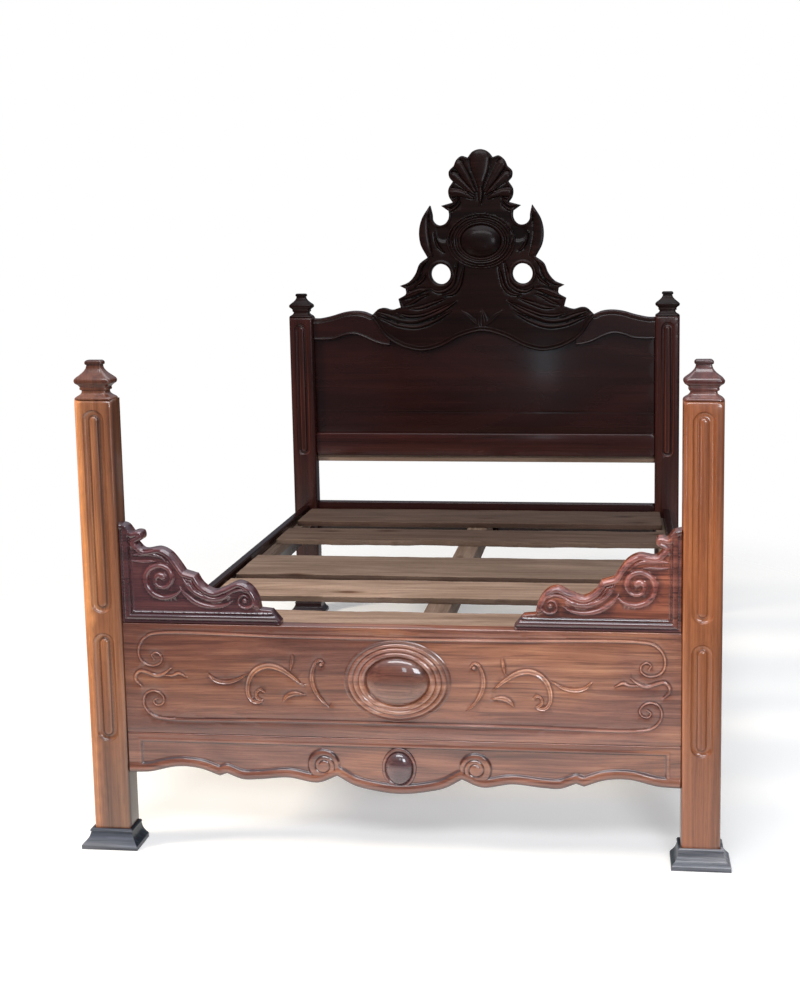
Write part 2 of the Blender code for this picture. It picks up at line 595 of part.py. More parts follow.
def build_apron():
    name = "footboard_apron"
    middle = (FOOTBOARD_FRONT + FOOTBOARD_BACK) / 2
    mesh = outline_mesh(name, [apron_knots(0.0, 0.0)], FOOTBOARD_THICKNESS)
    apron = add_piece(name, mesh, red_wood, (0.0, middle, 0.0))
    for side_name, side in SIDES:
        add_tenon(apron, f"{name}_tenon_{side_name}", side, side * (INNER_FACE - SEAT_GAP), *APRON_TENON)
    field = outline_mesh(f"{name}_field", [apron_knots(APRON_BORDER, APRON_BORDER)], 2 * APRON_SINK)
    combine(apron, add_cutter(f"{name}_field", field, (0.0, FOOTBOARD_FRONT, 0.0)))
    boss_level = FOOTBOARD_BOTTOM - APRON_BOSS_DROP
    seat = rod_mesh(f"{name}_boss_seat", 2.0, 2 * APRON_BOSS_SEAT, TURNING_STEPS)
    seat.transform(Matrix.Rotation(math.pi / 2, 4, "X") @ Matrix.Diagonal(
        (APRON_BOSS_HALF_WIDTH + APRON_BOSS_PLAY, APRON_BOSS_HALF_HEIGHT + APRON_BOSS_PLAY, 1.0, 1.0)))
    combine(apron, add_cutter(f"{name}_boss_seat", seat, (0.0, FOOTBOARD_FRONT, boss_level)))
    oval = oval_mesh("apron_boss", APRON_BOSS_HALF_WIDTH, APRON_BOSS_HALF_HEIGHT, APRON_BOSS_RELIEF)
    add_piece("apron_boss", oval, red_wood, (0.0, FOOTBOARD_FRONT + APRON_BOSS_SEAT - SEAT_GAP, boss_level))


def build_bracket(side_name, side, footboard):
    name = f"foot_bracket_{side_name}"
    start = side * (INNER_FACE - SEAT_GAP)
    base = FOOTBOARD_TOP + SEAT_GAP
    front = FOOTBOARD_FRONT + BRACKET_SETBACK
    knots = scaled(BRACKET_OUTLINE, -side * BRACKET_LENGTH, BRACKET_HEIGHT)
    mesh = outline_mesh(name, [knots], BRACKET_THICKNESS)
    bracket = add_piece(name, mesh, red_wood, (start, front + BRACKET_THICKNESS / 2, base))
    edge = BRACKET_BORDER_EDGE
    width = BRACKET_BORDER
    foot = BRACKET_LENGTH - width
    border = [(edge, edge, "corner"), (BRACKET_LENGTH - 2 * edge, edge, "corner"), (foot, width, "corner"),
              (width, width, "corner"), (width, BRACKET_HEIGHT * BRACKET_BORDER_TOPS[0], "corner"),
              (edge, BRACKET_HEIGHT * BRACKET_BORDER_TOPS[1], "corner")]
    border = scaled(border, -side, 1.0)
    frame = outline_mesh(f"{name}_border", [border], 2 * BRACKET_BORDER_RELIEF)
    combine(bracket, add_cutter(f"{name}_border", frame, (start, front, base)), "UNION")
    for number, share in enumerate(BRACKET_DOWEL_PLACES, 1):
        x = start - side * share * BRACKET_LENGTH
        place = (x, front + BRACKET_THICKNESS / 2, base - SEAT_GAP / 2)
        hole_name = f"{name}_dowel_hole_{number}"
        hole = add_cutter(hole_name, rod_mesh(hole_name, BRACKET_DOWEL_DIAMETER + 2 * SEAT_GAP,
                                              BRACKET_DOWEL_LENGTH + 2 * SEAT_GAP), place)
        combine(bracket, hole)
        combine(footboard, hole)
        dowel_name = f"{name}_dowel_{number}"
        dowel = rod_mesh(dowel_name, BRACKET_DOWEL_DIAMETER, BRACKET_DOWEL_LENGTH)
        add_piece(dowel_name, dowel, raw_wood, place)


def cut_panel_rebate(piece, name, half_width, middle=0.0):
    # Room behind a carved piece for the upper edge of the headboard panel
    cut_box(piece, name, (middle - half_width, HEAD_PANEL_FRONT - SEAT_GAP, CREST_BOTTOM - CUT_PAST),
            (middle + half_width, HEAD_BACK + CUT_PAST, HEAD_PANEL_TOP + SEAT_GAP))


def shell_lobe(name, tip):
    # Half-sunk ridge from the root of the shell out to one lobe
    root = Vector((0.0, CREST_BOTTOM + SHELL_ROOT * CREST_HEIGHT))
    end = Vector((tip[0] * CREST_HALF_WIDTH, CREST_BOTTOM + tip[1] * CREST_HEIGHT))
    run = end - root
    bm = bmesh.new()
    bmesh.ops.create_uvsphere(bm, u_segments=LOBE_SIDES, v_segments=LOBE_RING_STEPS, radius=1.0)
    turn = Matrix.Rotation(math.atan2(run.x, run.y), 4, "Y")
    size = Matrix.Diagonal((SHELL_LOBE_HALF_WIDTH, SHELL_RELIEF, run.length / 2, 1.0))
    bmesh.ops.transform(bm, matrix=turn @ size, verts=bm.verts)
    middle = (root + end) / 2
    return add_cutter(name, finish_mesh(bm, name), (middle.x, CREST_FRONT + CARVING_SINK, middle.y))


def horn_ridge(name, side):
    # Rounded back of one horn, tapering to its tip
    curve = bpy.data.curves.new(name, "CURVE")
    curve.dimensions = "3D"
    curve.bevel_depth = HORN_RELIEF
    curve.bevel_resolution = BEVEL_STEPS
    curve.use_fill_caps = True
    curve.resolution_u = CURVE_STEPS
    curve.render_resolution_u = CURVE_STEPS
    spline = curve.splines.new("BEZIER")
    spline.bezier_points.add(len(HORN_SPINE) - 1)
    for point, (across, up, girth) in zip(spline.bezier_points, HORN_SPINE):
        point.co = (side * across * CREST_HALF_WIDTH, CREST_FRONT + CARVING_SINK,
                    CREST_BOTTOM + up * CREST_HEIGHT)
        point.radius = girth
        point.handle_left_type = "AUTO"
        point.handle_right_type = "AUTO"
    ridge = bpy.data.objects.new(name, curve)
    cutters.objects.link(ridge)
    return add_cutter(name, evaluated_mesh(ridge, name))


def build_crest():
    # Pierced and scalloped board with a fan shell and two horns carved on its front
    name = "head_crest"
    half = scaled(CREST_OUTLINE, CREST_HALF_WIDTH, CREST_HEIGHT, 0.0, CREST_BOTTOM)
    loops = [both_halves(half)]
    for _, side in SIDES:
        centre = (side * CREST_PIERCING[0] * CREST_HALF_WIDTH,
                  CREST_BOTTOM + CREST_PIERCING[1] * CREST_HEIGHT)
        loops.append(circle_knots(centre, CREST_PIERCING_RADIUS))
    mesh = outline_mesh(name, loops, CREST_THICKNESS)
    crest = add_piece(name, mesh, dark_wood, (0.0, HEAD_BACK - CREST_THICKNESS / 2, 0.0))
    cut_panel_rebate(crest, f"{name}_rebate", CREST_HALF_WIDTH + CUT_PAST)
    for side_name, side in SIDES:
        low, high = TOP_RAIL_TENON
        cut_mortise(crest, f"{name}_mortise_{side_name}", -side, side * CREST_HALF_WIDTH, low, high)
        combine(crest, horn_ridge(f"{name}_horn_{side_name}", side), "UNION")
    for number, tip in enumerate(SHELL_TIPS):
        for side_name, side in SIDES[:1] if number == 0 else SIDES:
            lobe = shell_lobe(f"{name}_lobe_{side_name}_{number}", (side * tip[0], tip[1]))
            combine(crest, lobe, "UNION")
    oval = oval_mesh("crest_boss", CREST_BOSS_HALF_WIDTH, CREST_BOSS_HALF_HEIGHT, CREST_BOSS_RELIEF)
    add_piece("crest_boss", oval, dark_wood,
              (0.0, CREST_FRONT - SEAT_GAP, CREST_BOTTOM + CREST_BOSS_PLACE * CREST_HEIGHT))


def build_top_rail(side_name, side, post):
    # Serpentine band between the crest and a head post, tenoned at both ends
    name = f"head_top_rail_{side_name}"
    start = CREST_HALF_WIDTH + SEAT_GAP
    length = INNER_FACE - SEAT_GAP - start
    knots = [(side * (start + across * length), TOP_RAIL_BOTTOM + up * TOP_RAIL_DEPTH, kind)
             for across, up, kind in TOP_RAIL_OUTLINE]
    rail = add_piece(name, outline_mesh(name, [knots], TOP_RAIL_THICKNESS), dark_wood,
                     (0.0, HEAD_BACK - TOP_RAIL_THICKNESS / 2, 0.0))
    cut_panel_rebate(rail, f"{name}_rebate", length, side * (start + length / 2))
    low, high = TOP_RAIL_TENON
    add_tenon(rail, f"{name}_tenon_post", side, side * (start + length), low, high)
    add_tenon(rail, f"{name}_tenon_crest", -side, side * start, low, high)
    cut_mortise(post, f"{name}_mortise", side, side * INNER_FACE, low, high)


def build_headboard(posts):
    housing = INNER_FACE + HEAD_PANEL_HOUSING
    add_board("head_panel", dark_wood, (-housing, HEAD_PANEL_FRONT, HEAD_PANEL_BOTTOM + SEAT_GAP),
              (housing, HEAD_BACK, HEAD_PANEL_TOP))
    reach = INNER_FACE - SEAT_GAP
    rail = add_board("head_lower_rail", dark_wood, (-reach, LOWER_RAIL_FRONT, LOWER_RAIL_BOTTOM),
                     (reach, LOWER_RAIL_BACK, LOWER_RAIL_BOTTOM + LOWER_RAIL_HEIGHT))
    cut_box(rail, "head_lower_rail_rebate",
            (-reach - CUT_PAST, HEAD_PANEL_FRONT - SEAT_GAP, HEAD_PANEL_BOTTOM),
            (reach + CUT_PAST, HEAD_BACK + CUT_PAST, HEAD_PANEL_BOTTOM + HEAD_LAP + CUT_PAST))
    cross = add_board("head_cross_rail", dark_wood, (-reach, CROSS_RAIL_FRONT, CROSS_RAIL_BOTTOM),
                      (reach, CROSS_RAIL_FRONT + CROSS_RAIL_THICKNESS, RAIL_TOP + CROSS_RAIL_RISE))
    add_board("head_back_batten", raw_wood,
              (-reach, LOWER_RAIL_BACK + SEAT_GAP, LOWER_RAIL_BOTTOM - BATTEN_SHOW),
              (reach, HEAD_BACK, LOWER_RAIL_BOTTOM - BATTEN_SHOW + BATTEN_HEIGHT))
    for side_name, side in SIDES:
        post = posts[side_name]
        add_tenon(rail, f"head_lower_rail_tenon_{side_name}", side, side * reach, *LOWER_RAIL_TENON)
        cut_mortise(post, f"head_lower_rail_mortise_{side_name}", side, side * INNER_FACE,
                    *LOWER_RAIL_TENON)
        add_tenon(cross, f"head_cross_rail_tenon_{side_name}", side, side * reach, *CROSS_RAIL_TENON)
        cut_mortise(post, f"head_cross_rail_mortise_{side_name}", side, side * INNER_FACE,
                    *CROSS_RAIL_TENON)
        cut_mortise(post, f"head_panel_housing_{side_name}", side, side * INNER_FACE,
                    (HEAD_PANEL_FRONT, HEAD_PANEL_BOTTOM), (HEAD_BACK, HEAD_PANEL_TOP), HEAD_PANEL_HOUSING)
        build_top_rail(side_name, side, post)
    build_crest()


def build_side_rail(side_name, side):
    # Rail with a seat for a hook plate in each end, and its ledger
    name = f"side_rail_{side_name}"
    foot_end = FOOT_FACE + POST_DEPTH + SEAT_GAP
    head_end = HEAD_FACE - SEAT_GAP
    rail = add_board(name, dark_wood, (side * RAIL_INNER, foot_end, RAIL_BOTTOM),
                     (side * RAIL_OUTER, head_end, RAIL_TOP))
    for end, rail_end, outward in (("foot", foot_end, -1), ("head", head_end, 1)):
        cut_box(rail, f"{name}_{end}_seat",
                (side * RAIL_MIDDLE - PLATE_WIDTH / 2 - SEAT_GAP, rail_end + outward * CUT_PAST,
                 PLATE_MIDDLE - PLATE_HEIGHT / 2 - SEAT_GAP),
                (side * RAIL_MIDDLE + PLATE_WIDTH / 2 + SEAT_GAP,
                 rail_end - outward * (PLATE_THICKNESS + SEAT_GAP),
                 PLATE_MIDDLE + PLATE_HEIGHT / 2 + SEAT_GAP))
        build_fitting(end, side_name, side, rail_end, outward)
    inner = side * (RAIL_INNER - SEAT_GAP)
    add_board(f"side_ledger_{side_name}", raw_wood,
              (inner, foot_end + LEDGER_END_GAP, SLAT_BOTTOM - SEAT_GAP - LEDGER_HEIGHT),
              (inner - side * LEDGER_WIDTH, head_end - LEDGER_END_GAP, SLAT_BOTTOM - SEAT_GAP))


def build_fitting(end, side_name, side, rail_end, outward):
    # Hook plate in the rail's end, and the slotted strike plate in the post that takes its hooks
    x = side * RAIL_MIDDLE
    low_z = PLATE_MIDDLE - PLATE_HEIGHT / 2
    high_z = PLATE_MIDDLE + PLATE_HEIGHT / 2
    hooks = add_board(f"{end}_hook_plate_{side_name}", steel,
                      (x - PLATE_WIDTH / 2, rail_end, low_z),
                      (x + PLATE_WIDTH / 2, rail_end - outward * PLATE_THICKNESS, high_z))
    post_face = rail_end + outward * SEAT_GAP
    strike = add_board(f"{end}_strike_plate_{side_name}", steel,
                       (x - PLATE_WIDTH / 2, post_face, low_z),
                       (x + PLATE_WIDTH / 2, post_face + outward * PLATE_THICKNESS, high_z))
    neck_half = HOOK_NECK / 2
    strike_back = post_face + outward * PLATE_THICKNESS
    tip = strike_back + outward * HOOK_REACH
    for number, level in enumerate((PLATE_MIDDLE + HOOK_SPACING / 2, PLATE_MIDDLE - HOOK_SPACING / 2), 1):
        join_box(hooks, f"{hooks.name}_neck_{number}",
                 (x - HOOK_THICKNESS / 2, rail_end - outward * PLATE_THICKNESS / 2, level - neck_half),
                 (x + HOOK_THICKNESS / 2, tip, level + neck_half))
        join_box(hooks, f"{hooks.name}_claw_{number}",
                 (x - HOOK_THICKNESS / 2, strike_back + outward * SEAT_GAP, level - neck_half - HOOK_DROP),
                 (x + HOOK_THICKNESS / 2, tip, level))
        cut_box(strike, f"{strike.name}_slot_{number}",
                (x - HOOK_THICKNESS / 2 - HOOK_PLAY, post_face - outward * CUT_PAST,
                 level - neck_half - SEAT_GAP),
                (x + HOOK_THICKNESS / 2 + HOOK_PLAY, strike_back + outward * CUT_PAST,
                 level + neck_half + HOOK_DROP + HOOK_PLAY))


def build_slats():
    # Loose planks on the ledgers; the gaps between them share the length that is left
    start = FOOT_FACE + POST_DEPTH
    spare = HEAD_FACE - start - sum(SLAT_WIDTHS)
    half_length = RAIL_INNER - SLAT_END_GAP
    edge = start
    for number, (gap, width) in enumerate(zip(SLAT_GAP_SHARES, SLAT_WIDTHS), 1):
        edge += gap * spare
        add_board(f"slat_{number}", raw_wood, (-half_length, edge, SLAT_BOTTOM),
                  (half_length, edge + width, SLAT_TOP))
        edge += width


def build_beam():
    # Beam along the middle under the slats, on a cleat at each end
    foot_end = FOOTBOARD_BACK + BEAM_END_GAP
    head_end = CROSS_RAIL_FRONT - BEAM_END_GAP
    add_board("centre_beam", raw_wood, (-BEAM_WIDTH / 2, foot_end, BEAM_BOTTOM),
              (BEAM_WIDTH / 2, head_end, SLAT_BOTTOM - SEAT_GAP))
    cleat_top = BEAM_BOTTOM - SEAT_GAP
    for end, face, inward in (("foot", FOOTBOARD_BACK, 1), ("head", CROSS_RAIL_FRONT, -1)):
        add_board(f"beam_cleat_{end}", raw_wood,
                  (-CLEAT_LENGTH / 2, face + inward * SEAT_GAP, cleat_top - CLEAT_HEIGHT),
                  (CLEAT_LENGTH / 2, face + inward * CLEAT_DEPTH, cleat_top))


def build_bed():
    upper_flute = (FOOTBOARD_TOP + FLUTE_TOP_MARGIN, FOOT_POST_HEIGHT - FLUTE_TOP_MARGIN)
    lower_flute = (FOOTBOARD_BOTTOM - FLUTE_TOP_MARGIN, FOOTBOARD_TOP - FLUTE_TOP_MARGIN)
    head_flute = (LOWER_RAIL_BOTTOM, HEAD_POST_HEIGHT - FLUTE_TOP_MARGIN)
    head_posts = {}
    for side_name, side in SIDES:
        post = build_post("foot", side_name, side, FOOT_FACE, FOOT_POST_HEIGHT, (upper_flute, lower_flute))
        cut_mortise(post, f"footboard_mortise_{side_name}", side, side * INNER_FACE, *FOOTBOARD_TENON)
        cut_mortise(post, f"apron_mortise_{side_name}", side, side * INNER_FACE, *APRON_TENON)
        head_posts[side_name] = build_post("head", side_name, side, HEAD_FACE, HEAD_POST_HEIGHT,
                                           (head_flute,))
        build_finial("foot", side_name, side, FOOT_FACE, FOOT_POST_HEIGHT)
        build_finial("head", side_name, side, HEAD_FACE, HEAD_POST_HEIGHT)
        build_plinth("foot", side_name, side, FOOT_FACE)
        build_plinth("head", side_name, side, HEAD_FACE)
        build_side_rail(side_name, side)
    footboard = build_footboard()
    build_apron()
    for side_name, side in SIDES:
        build_bracket(side_name, side, footboard)
    build_headboard(head_posts)
    build_beam()
    build_slats()


build_bed()
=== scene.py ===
import math

import bmesh
import bpy
import numpy as np
from mathutils import Matrix, Vector
from mathutils.geometry import delaunay_2d_cdt


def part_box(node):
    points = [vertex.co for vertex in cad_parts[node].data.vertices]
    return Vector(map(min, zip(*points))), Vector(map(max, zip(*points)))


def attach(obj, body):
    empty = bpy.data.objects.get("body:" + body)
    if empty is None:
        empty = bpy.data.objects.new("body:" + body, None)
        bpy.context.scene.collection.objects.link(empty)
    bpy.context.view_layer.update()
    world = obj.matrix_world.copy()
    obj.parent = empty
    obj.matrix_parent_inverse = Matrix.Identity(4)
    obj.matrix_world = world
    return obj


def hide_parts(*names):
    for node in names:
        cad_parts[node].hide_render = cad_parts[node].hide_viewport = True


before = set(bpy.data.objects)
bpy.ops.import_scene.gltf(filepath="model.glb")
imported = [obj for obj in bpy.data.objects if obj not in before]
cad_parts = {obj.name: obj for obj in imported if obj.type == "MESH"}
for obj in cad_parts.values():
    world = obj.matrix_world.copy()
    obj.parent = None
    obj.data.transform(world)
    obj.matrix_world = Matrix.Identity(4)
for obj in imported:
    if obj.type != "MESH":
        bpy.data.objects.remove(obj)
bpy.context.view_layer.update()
print("bed frame loaded,", len(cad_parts), "nodes")


# lines and outlines, all in (across, up) metres
def curveRun(points, gap):
    pts = np.array(points, float)
    if len(pts) == 2:
        count = max(1, int(np.linalg.norm(pts[1, :2] - pts[0, :2]) / gap))
        return pts[0] + (pts[1] - pts[0]) * np.linspace(0, 1, count + 1)[:, None]
    pts = np.vstack([2 * pts[0] - pts[1], pts, 2 * pts[-1] - pts[-2]])
    run = []
    for a, b, c, d in zip(pts, pts[1:], pts[2:], pts[3:]):
        span = [max(1e-5, np.linalg.norm((q - p)[:2])) ** 0.5 for p, q in ((a, b), (b, c), (c, d))]
        tb, tc, td = np.cumsum(span)
        count = max(1, int(np.linalg.norm((c - b)[:2]) / gap))
        t = np.linspace(tb, tc, count + 1)[:-1, None]
        ab = a + (b - a) * t / tb
        bc = b + (c - b) * (t - tb) / (tc - tb)
        cd = c + (d - c) * (t - tc) / (td - tc)
        abc = ab + (bc - ab) * t / tc
        bcd = bc + (cd - bc) * (t - tb) / (td - tb)
        run.append(abc + (bcd - abc) * (t - tb) / (tc - tb))
    return np.vstack(run + [pts[-2][None]])


def closedLoop(knots, gap=0.003):  # knots (across, up, isCorner), the first one a corner
    marks = [k for k, knot in enumerate(knots) if knot[2]] + [len(knots)]
    ring = [knot[:2] for knot in knots] + [knots[0][:2]]
    runs = [curveRun(ring[a:b + 1], gap)[:-1] for a, b in zip(marks, marks[1:])]
    return np.vstack(runs)


def rectangle(left, right, bottom, top, gap):
    return closedLoop([(left, bottom, 1), (right, bottom, 1), (right, top, 1), (left, top, 1)], gap)


# an open run through knots (a, b, isCorner) that starts and ends with a corner
def profileRun(knots, gap):
    marks = [k for k, knot in enumerate(knots) if knot[2]]
    runs = [curveRun([knot[:2] for knot in knots[a:b + 1]], gap) for a, b in zip(marks, marks[1:])]
    return np.vstack([run[:-1] for run in runs] + [runs[-1][-1:]])


def mirrored(line):
    flip = np.array(line, float)
    flip[:, 0] *= -1
    return flip


def roundRidge(value, middle, reach):
    return np.sqrt(np.clip(1 - ((value - middle) / reach) ** 2, 0, 1))


def softGroove(value, middle, reach):
    return np.exp(-((value - middle) / reach) ** 2)


def softStep(value, start, end):
    t = np.clip((value - start) / (end - start), 0, 1)
    return t * t * (3 - 2 * t)


def spiral(centre, start, end, fromAngle, turns, widths, power=1.0, points=9):
    share = np.linspace(0, 1, int(points * abs(turns)) + 2)
    radius = start + (end - start) * share ** power
    angle = np.radians(fromAngle + 360 * turns * share)
    width = widths[0] + (widths[1] - widths[0]) * share
    return [(centre[0] + r * math.cos(a), centre[1] + r * math.sin(a), w)
            for r, a, w in zip(radius, angle, width)]


# distance to a run of points, and the line's half width at the nearest spot
def lineDistance(xz, line):
    far = np.full(len(xz), 1e3, np.float32)
    width = np.zeros(len(xz), np.float32)
    a = line[:-1].astype(np.float32)
    run = line[1:].astype(np.float32) - a
    length = np.maximum((run[:, :2] ** 2).sum(1), 1e-12)
    for start in range(0, len(xz), 3000):
        p = xz[start:start + 3000].astype(np.float32)
        dx = p[:, None, 0] - a[None, :, 0]
        dz = p[:, None, 1] - a[None, :, 1]
        t = np.clip((dx * run[:, 0] + dz * run[:, 1]) / length, 0, 1)
        gap = (dx - t * run[:, 0]) ** 2 + (dz - t * run[:, 1]) ** 2
        best = gap.argmin(1)
        rows = np.arange(len(p))
        far[start:start + 3000] = np.sqrt(gap[rows, best])
        if line.shape[1] > 2:
            width[start:start + 3000] = a[best, 2] + t[rows, best] * run[best, 2]
    return far, width


# the groove beside each kind of stroke: depth as a share of the relief, place and width in half widths
strokeGroove = dict(bead=(0.42, 1.22, 0.27), ribbon=(0.3, 1.15, 0.2), leaf=(0.35, 1.15, 0.22),
                    swell=(0.3, 1.08, 0.10))


def carve(xz, strokes):  # ridge height and cut depth of all strokes at the points
    ridge = np.zeros(len(xz))
    cut = np.zeros(len(xz))
    score = np.zeros(len(xz))
    for line, relief, kind in strokes:
        line = np.asarray(line, float)
        reach = line[:, 2].max() * 1.9 + 0.001
        low = line[:, :2].min(0) - reach
        high = line[:, :2].max(0) + reach
        near = np.flatnonzero(((xz > low) & (xz < high)).all(1))
        if not len(near):
            continue
        gap, width = lineDistance(xz[near], line)
        q = gap / np.maximum(width, 1e-4)
        inner = np.clip(1 - q * q, 0, 1)
        lift = relief * np.clip(width / (line[:, 2].max() * 0.45), 0.15, 1)
        if kind == "score":  # a gouge line across what is raised
            score[near] = np.minimum(score[near], -lift * softGroove(q, 0, 1))
            continue
        form = np.sqrt(inner)
        if kind == "ribbon":  # raised along both sides, hollow along the middle
            form = roundRidge(np.maximum(q, 0.7), 0.7, 0.3) * (0.5 + np.minimum(q, 0.7) ** 2)
        elif kind == "leaf":  # with a vein
            form = inner ** 0.7 * (1 - 0.45 * softGroove(q, 0, 0.16))
        deep, spot, reach = strokeGroove[kind]
        ridge[near] = np.maximum(ridge[near], lift * form)
        cut[near] = np.minimum(cut[near], -deep * lift * softGroove(q, spot, reach))
    return np.maximum(ridge + score, 0), np.minimum(cut, score)


def insideLoops(xs, zs, loops):  # even-odd fill of a lattice, row by row
    inside = np.zeros((len(zs), len(xs)), bool)
    for row, z in enumerate(zs):
        hits = []
        for loop in loops:
            nxt = np.roll(loop, -1, 0)
            crossing = (loop[:, 1] > z) != (nxt[:, 1] > z)
            a, b = loop[crossing], nxt[crossing]
            hits.append(a[:, 0] + (z - a[:, 1]) / (b[:, 1] - a[:, 1]) * (b[:, 0] - a[:, 0]))
        inside[row] = np.searchsorted(np.sort(np.concatenate(hits)), xs) % 2 == 1
    return inside


def inwardNormals(loop):
    along = np.roll(loop, -1, 0) - np.roll(loop, 1, 0)
    along /= np.maximum(np.linalg.norm(along, axis=1), 1e-9)[:, None]
    area = (loop[:, 0] * np.roll(loop[:, 1], -1) - np.roll(loop[:, 0], -1) * loop[:, 1]).sum()
    return np.c_[-along[:, 1], along[:, 0]] * (1 if area > 0 else -1)


def loopDistance(xz, loops):
    return np.min([lineDistance(xz, np.vstack([loop, loop[:1]]))[0] for loop in loops], axis=0)


def meshPiece(name, verts, faces, shade=None, sharpAngle=38):
    name = "wood_" + name.replace(" ", "_")  # never the name of a frame node
    mesh = bpy.data.meshes.new(name)
    mesh.from_pydata([tuple(v) for v in verts], [], faces)
    bm = bmesh.new()
    bm.from_mesh(mesh)
    bmesh.ops.recalc_face_normals(bm, faces=bm.faces)
    bm.to_mesh(mesh)
    bm.free()
    if shade is not None:
        layer = mesh.attributes.new("carveShade", "FLOAT", "POINT")
        layer.data.foreach_set("value", np.asarray(shade, np.float32))
    mesh.shade_smooth()
    mesh.set_sharp_from_angle(angle=math.radians(sharpAngle))
    piece = bpy.data.objects.new(name, mesh)
    bpy.context.scene.collection.objects.link(piece)
    return piece


def followRows(lines, fine):  # rows of points that run along the carved lines
    rows = []
    for line in lines:
        count = int(np.clip(np.ceil(line[:, 2].max() * 1.25 / (fine * 0.7)), 4, 20))
        shares = np.r_[-1.28, np.linspace(-1, 1, 2 * count - 1), 1.28]
        if len(line) < 3:  # a ball
            turn = np.linspace(0, 2 * np.pi, 28, endpoint=False)
            circle = line[0, 2] * np.c_[np.cos(turn), np.sin(turn)]
            rows += [line[0, :2] + circle * s for s in shares[count + 1:]]
            rows.append(line[:1, :2])
            continue
        way = np.gradient(line[:, :2], axis=0)
        way /= np.linalg.norm(way, axis=1)[:, None]
        aside = np.c_[-way[:, 1], way[:, 0]] * line[:, 2:3]
        rows += [line[:, :2] + aside * s for s in shares]
    return rows


def edgeRows(loop, reaches, flip=1):  # rows of points along an outline
    inward = inwardNormals(loop) * flip
    rings = [(loop + inward * reach, reach) for reach in reaches]
    return [ring[loopDistance(ring, [loop]) > reach * 0.85] for ring, reach in rings]


def slotRows(middle, bottom, top, reaches):  # rows of points round an upright slot
    rows = []
    for reach in reaches:
        turn = np.linspace(0, np.pi, 22)
        side = np.linspace(bottom, top, int((top - bottom) / 0.006))
        rows.append(np.c_[middle + reach * np.cos(turn), top + reach * np.sin(turn)])
        rows.append(np.c_[middle + reach * np.cos(turn), bottom - reach * np.sin(turn)])
        rows += [np.c_[np.full(len(side), middle + reach * sign), side] for sign in (-1, 1)]
    return rows


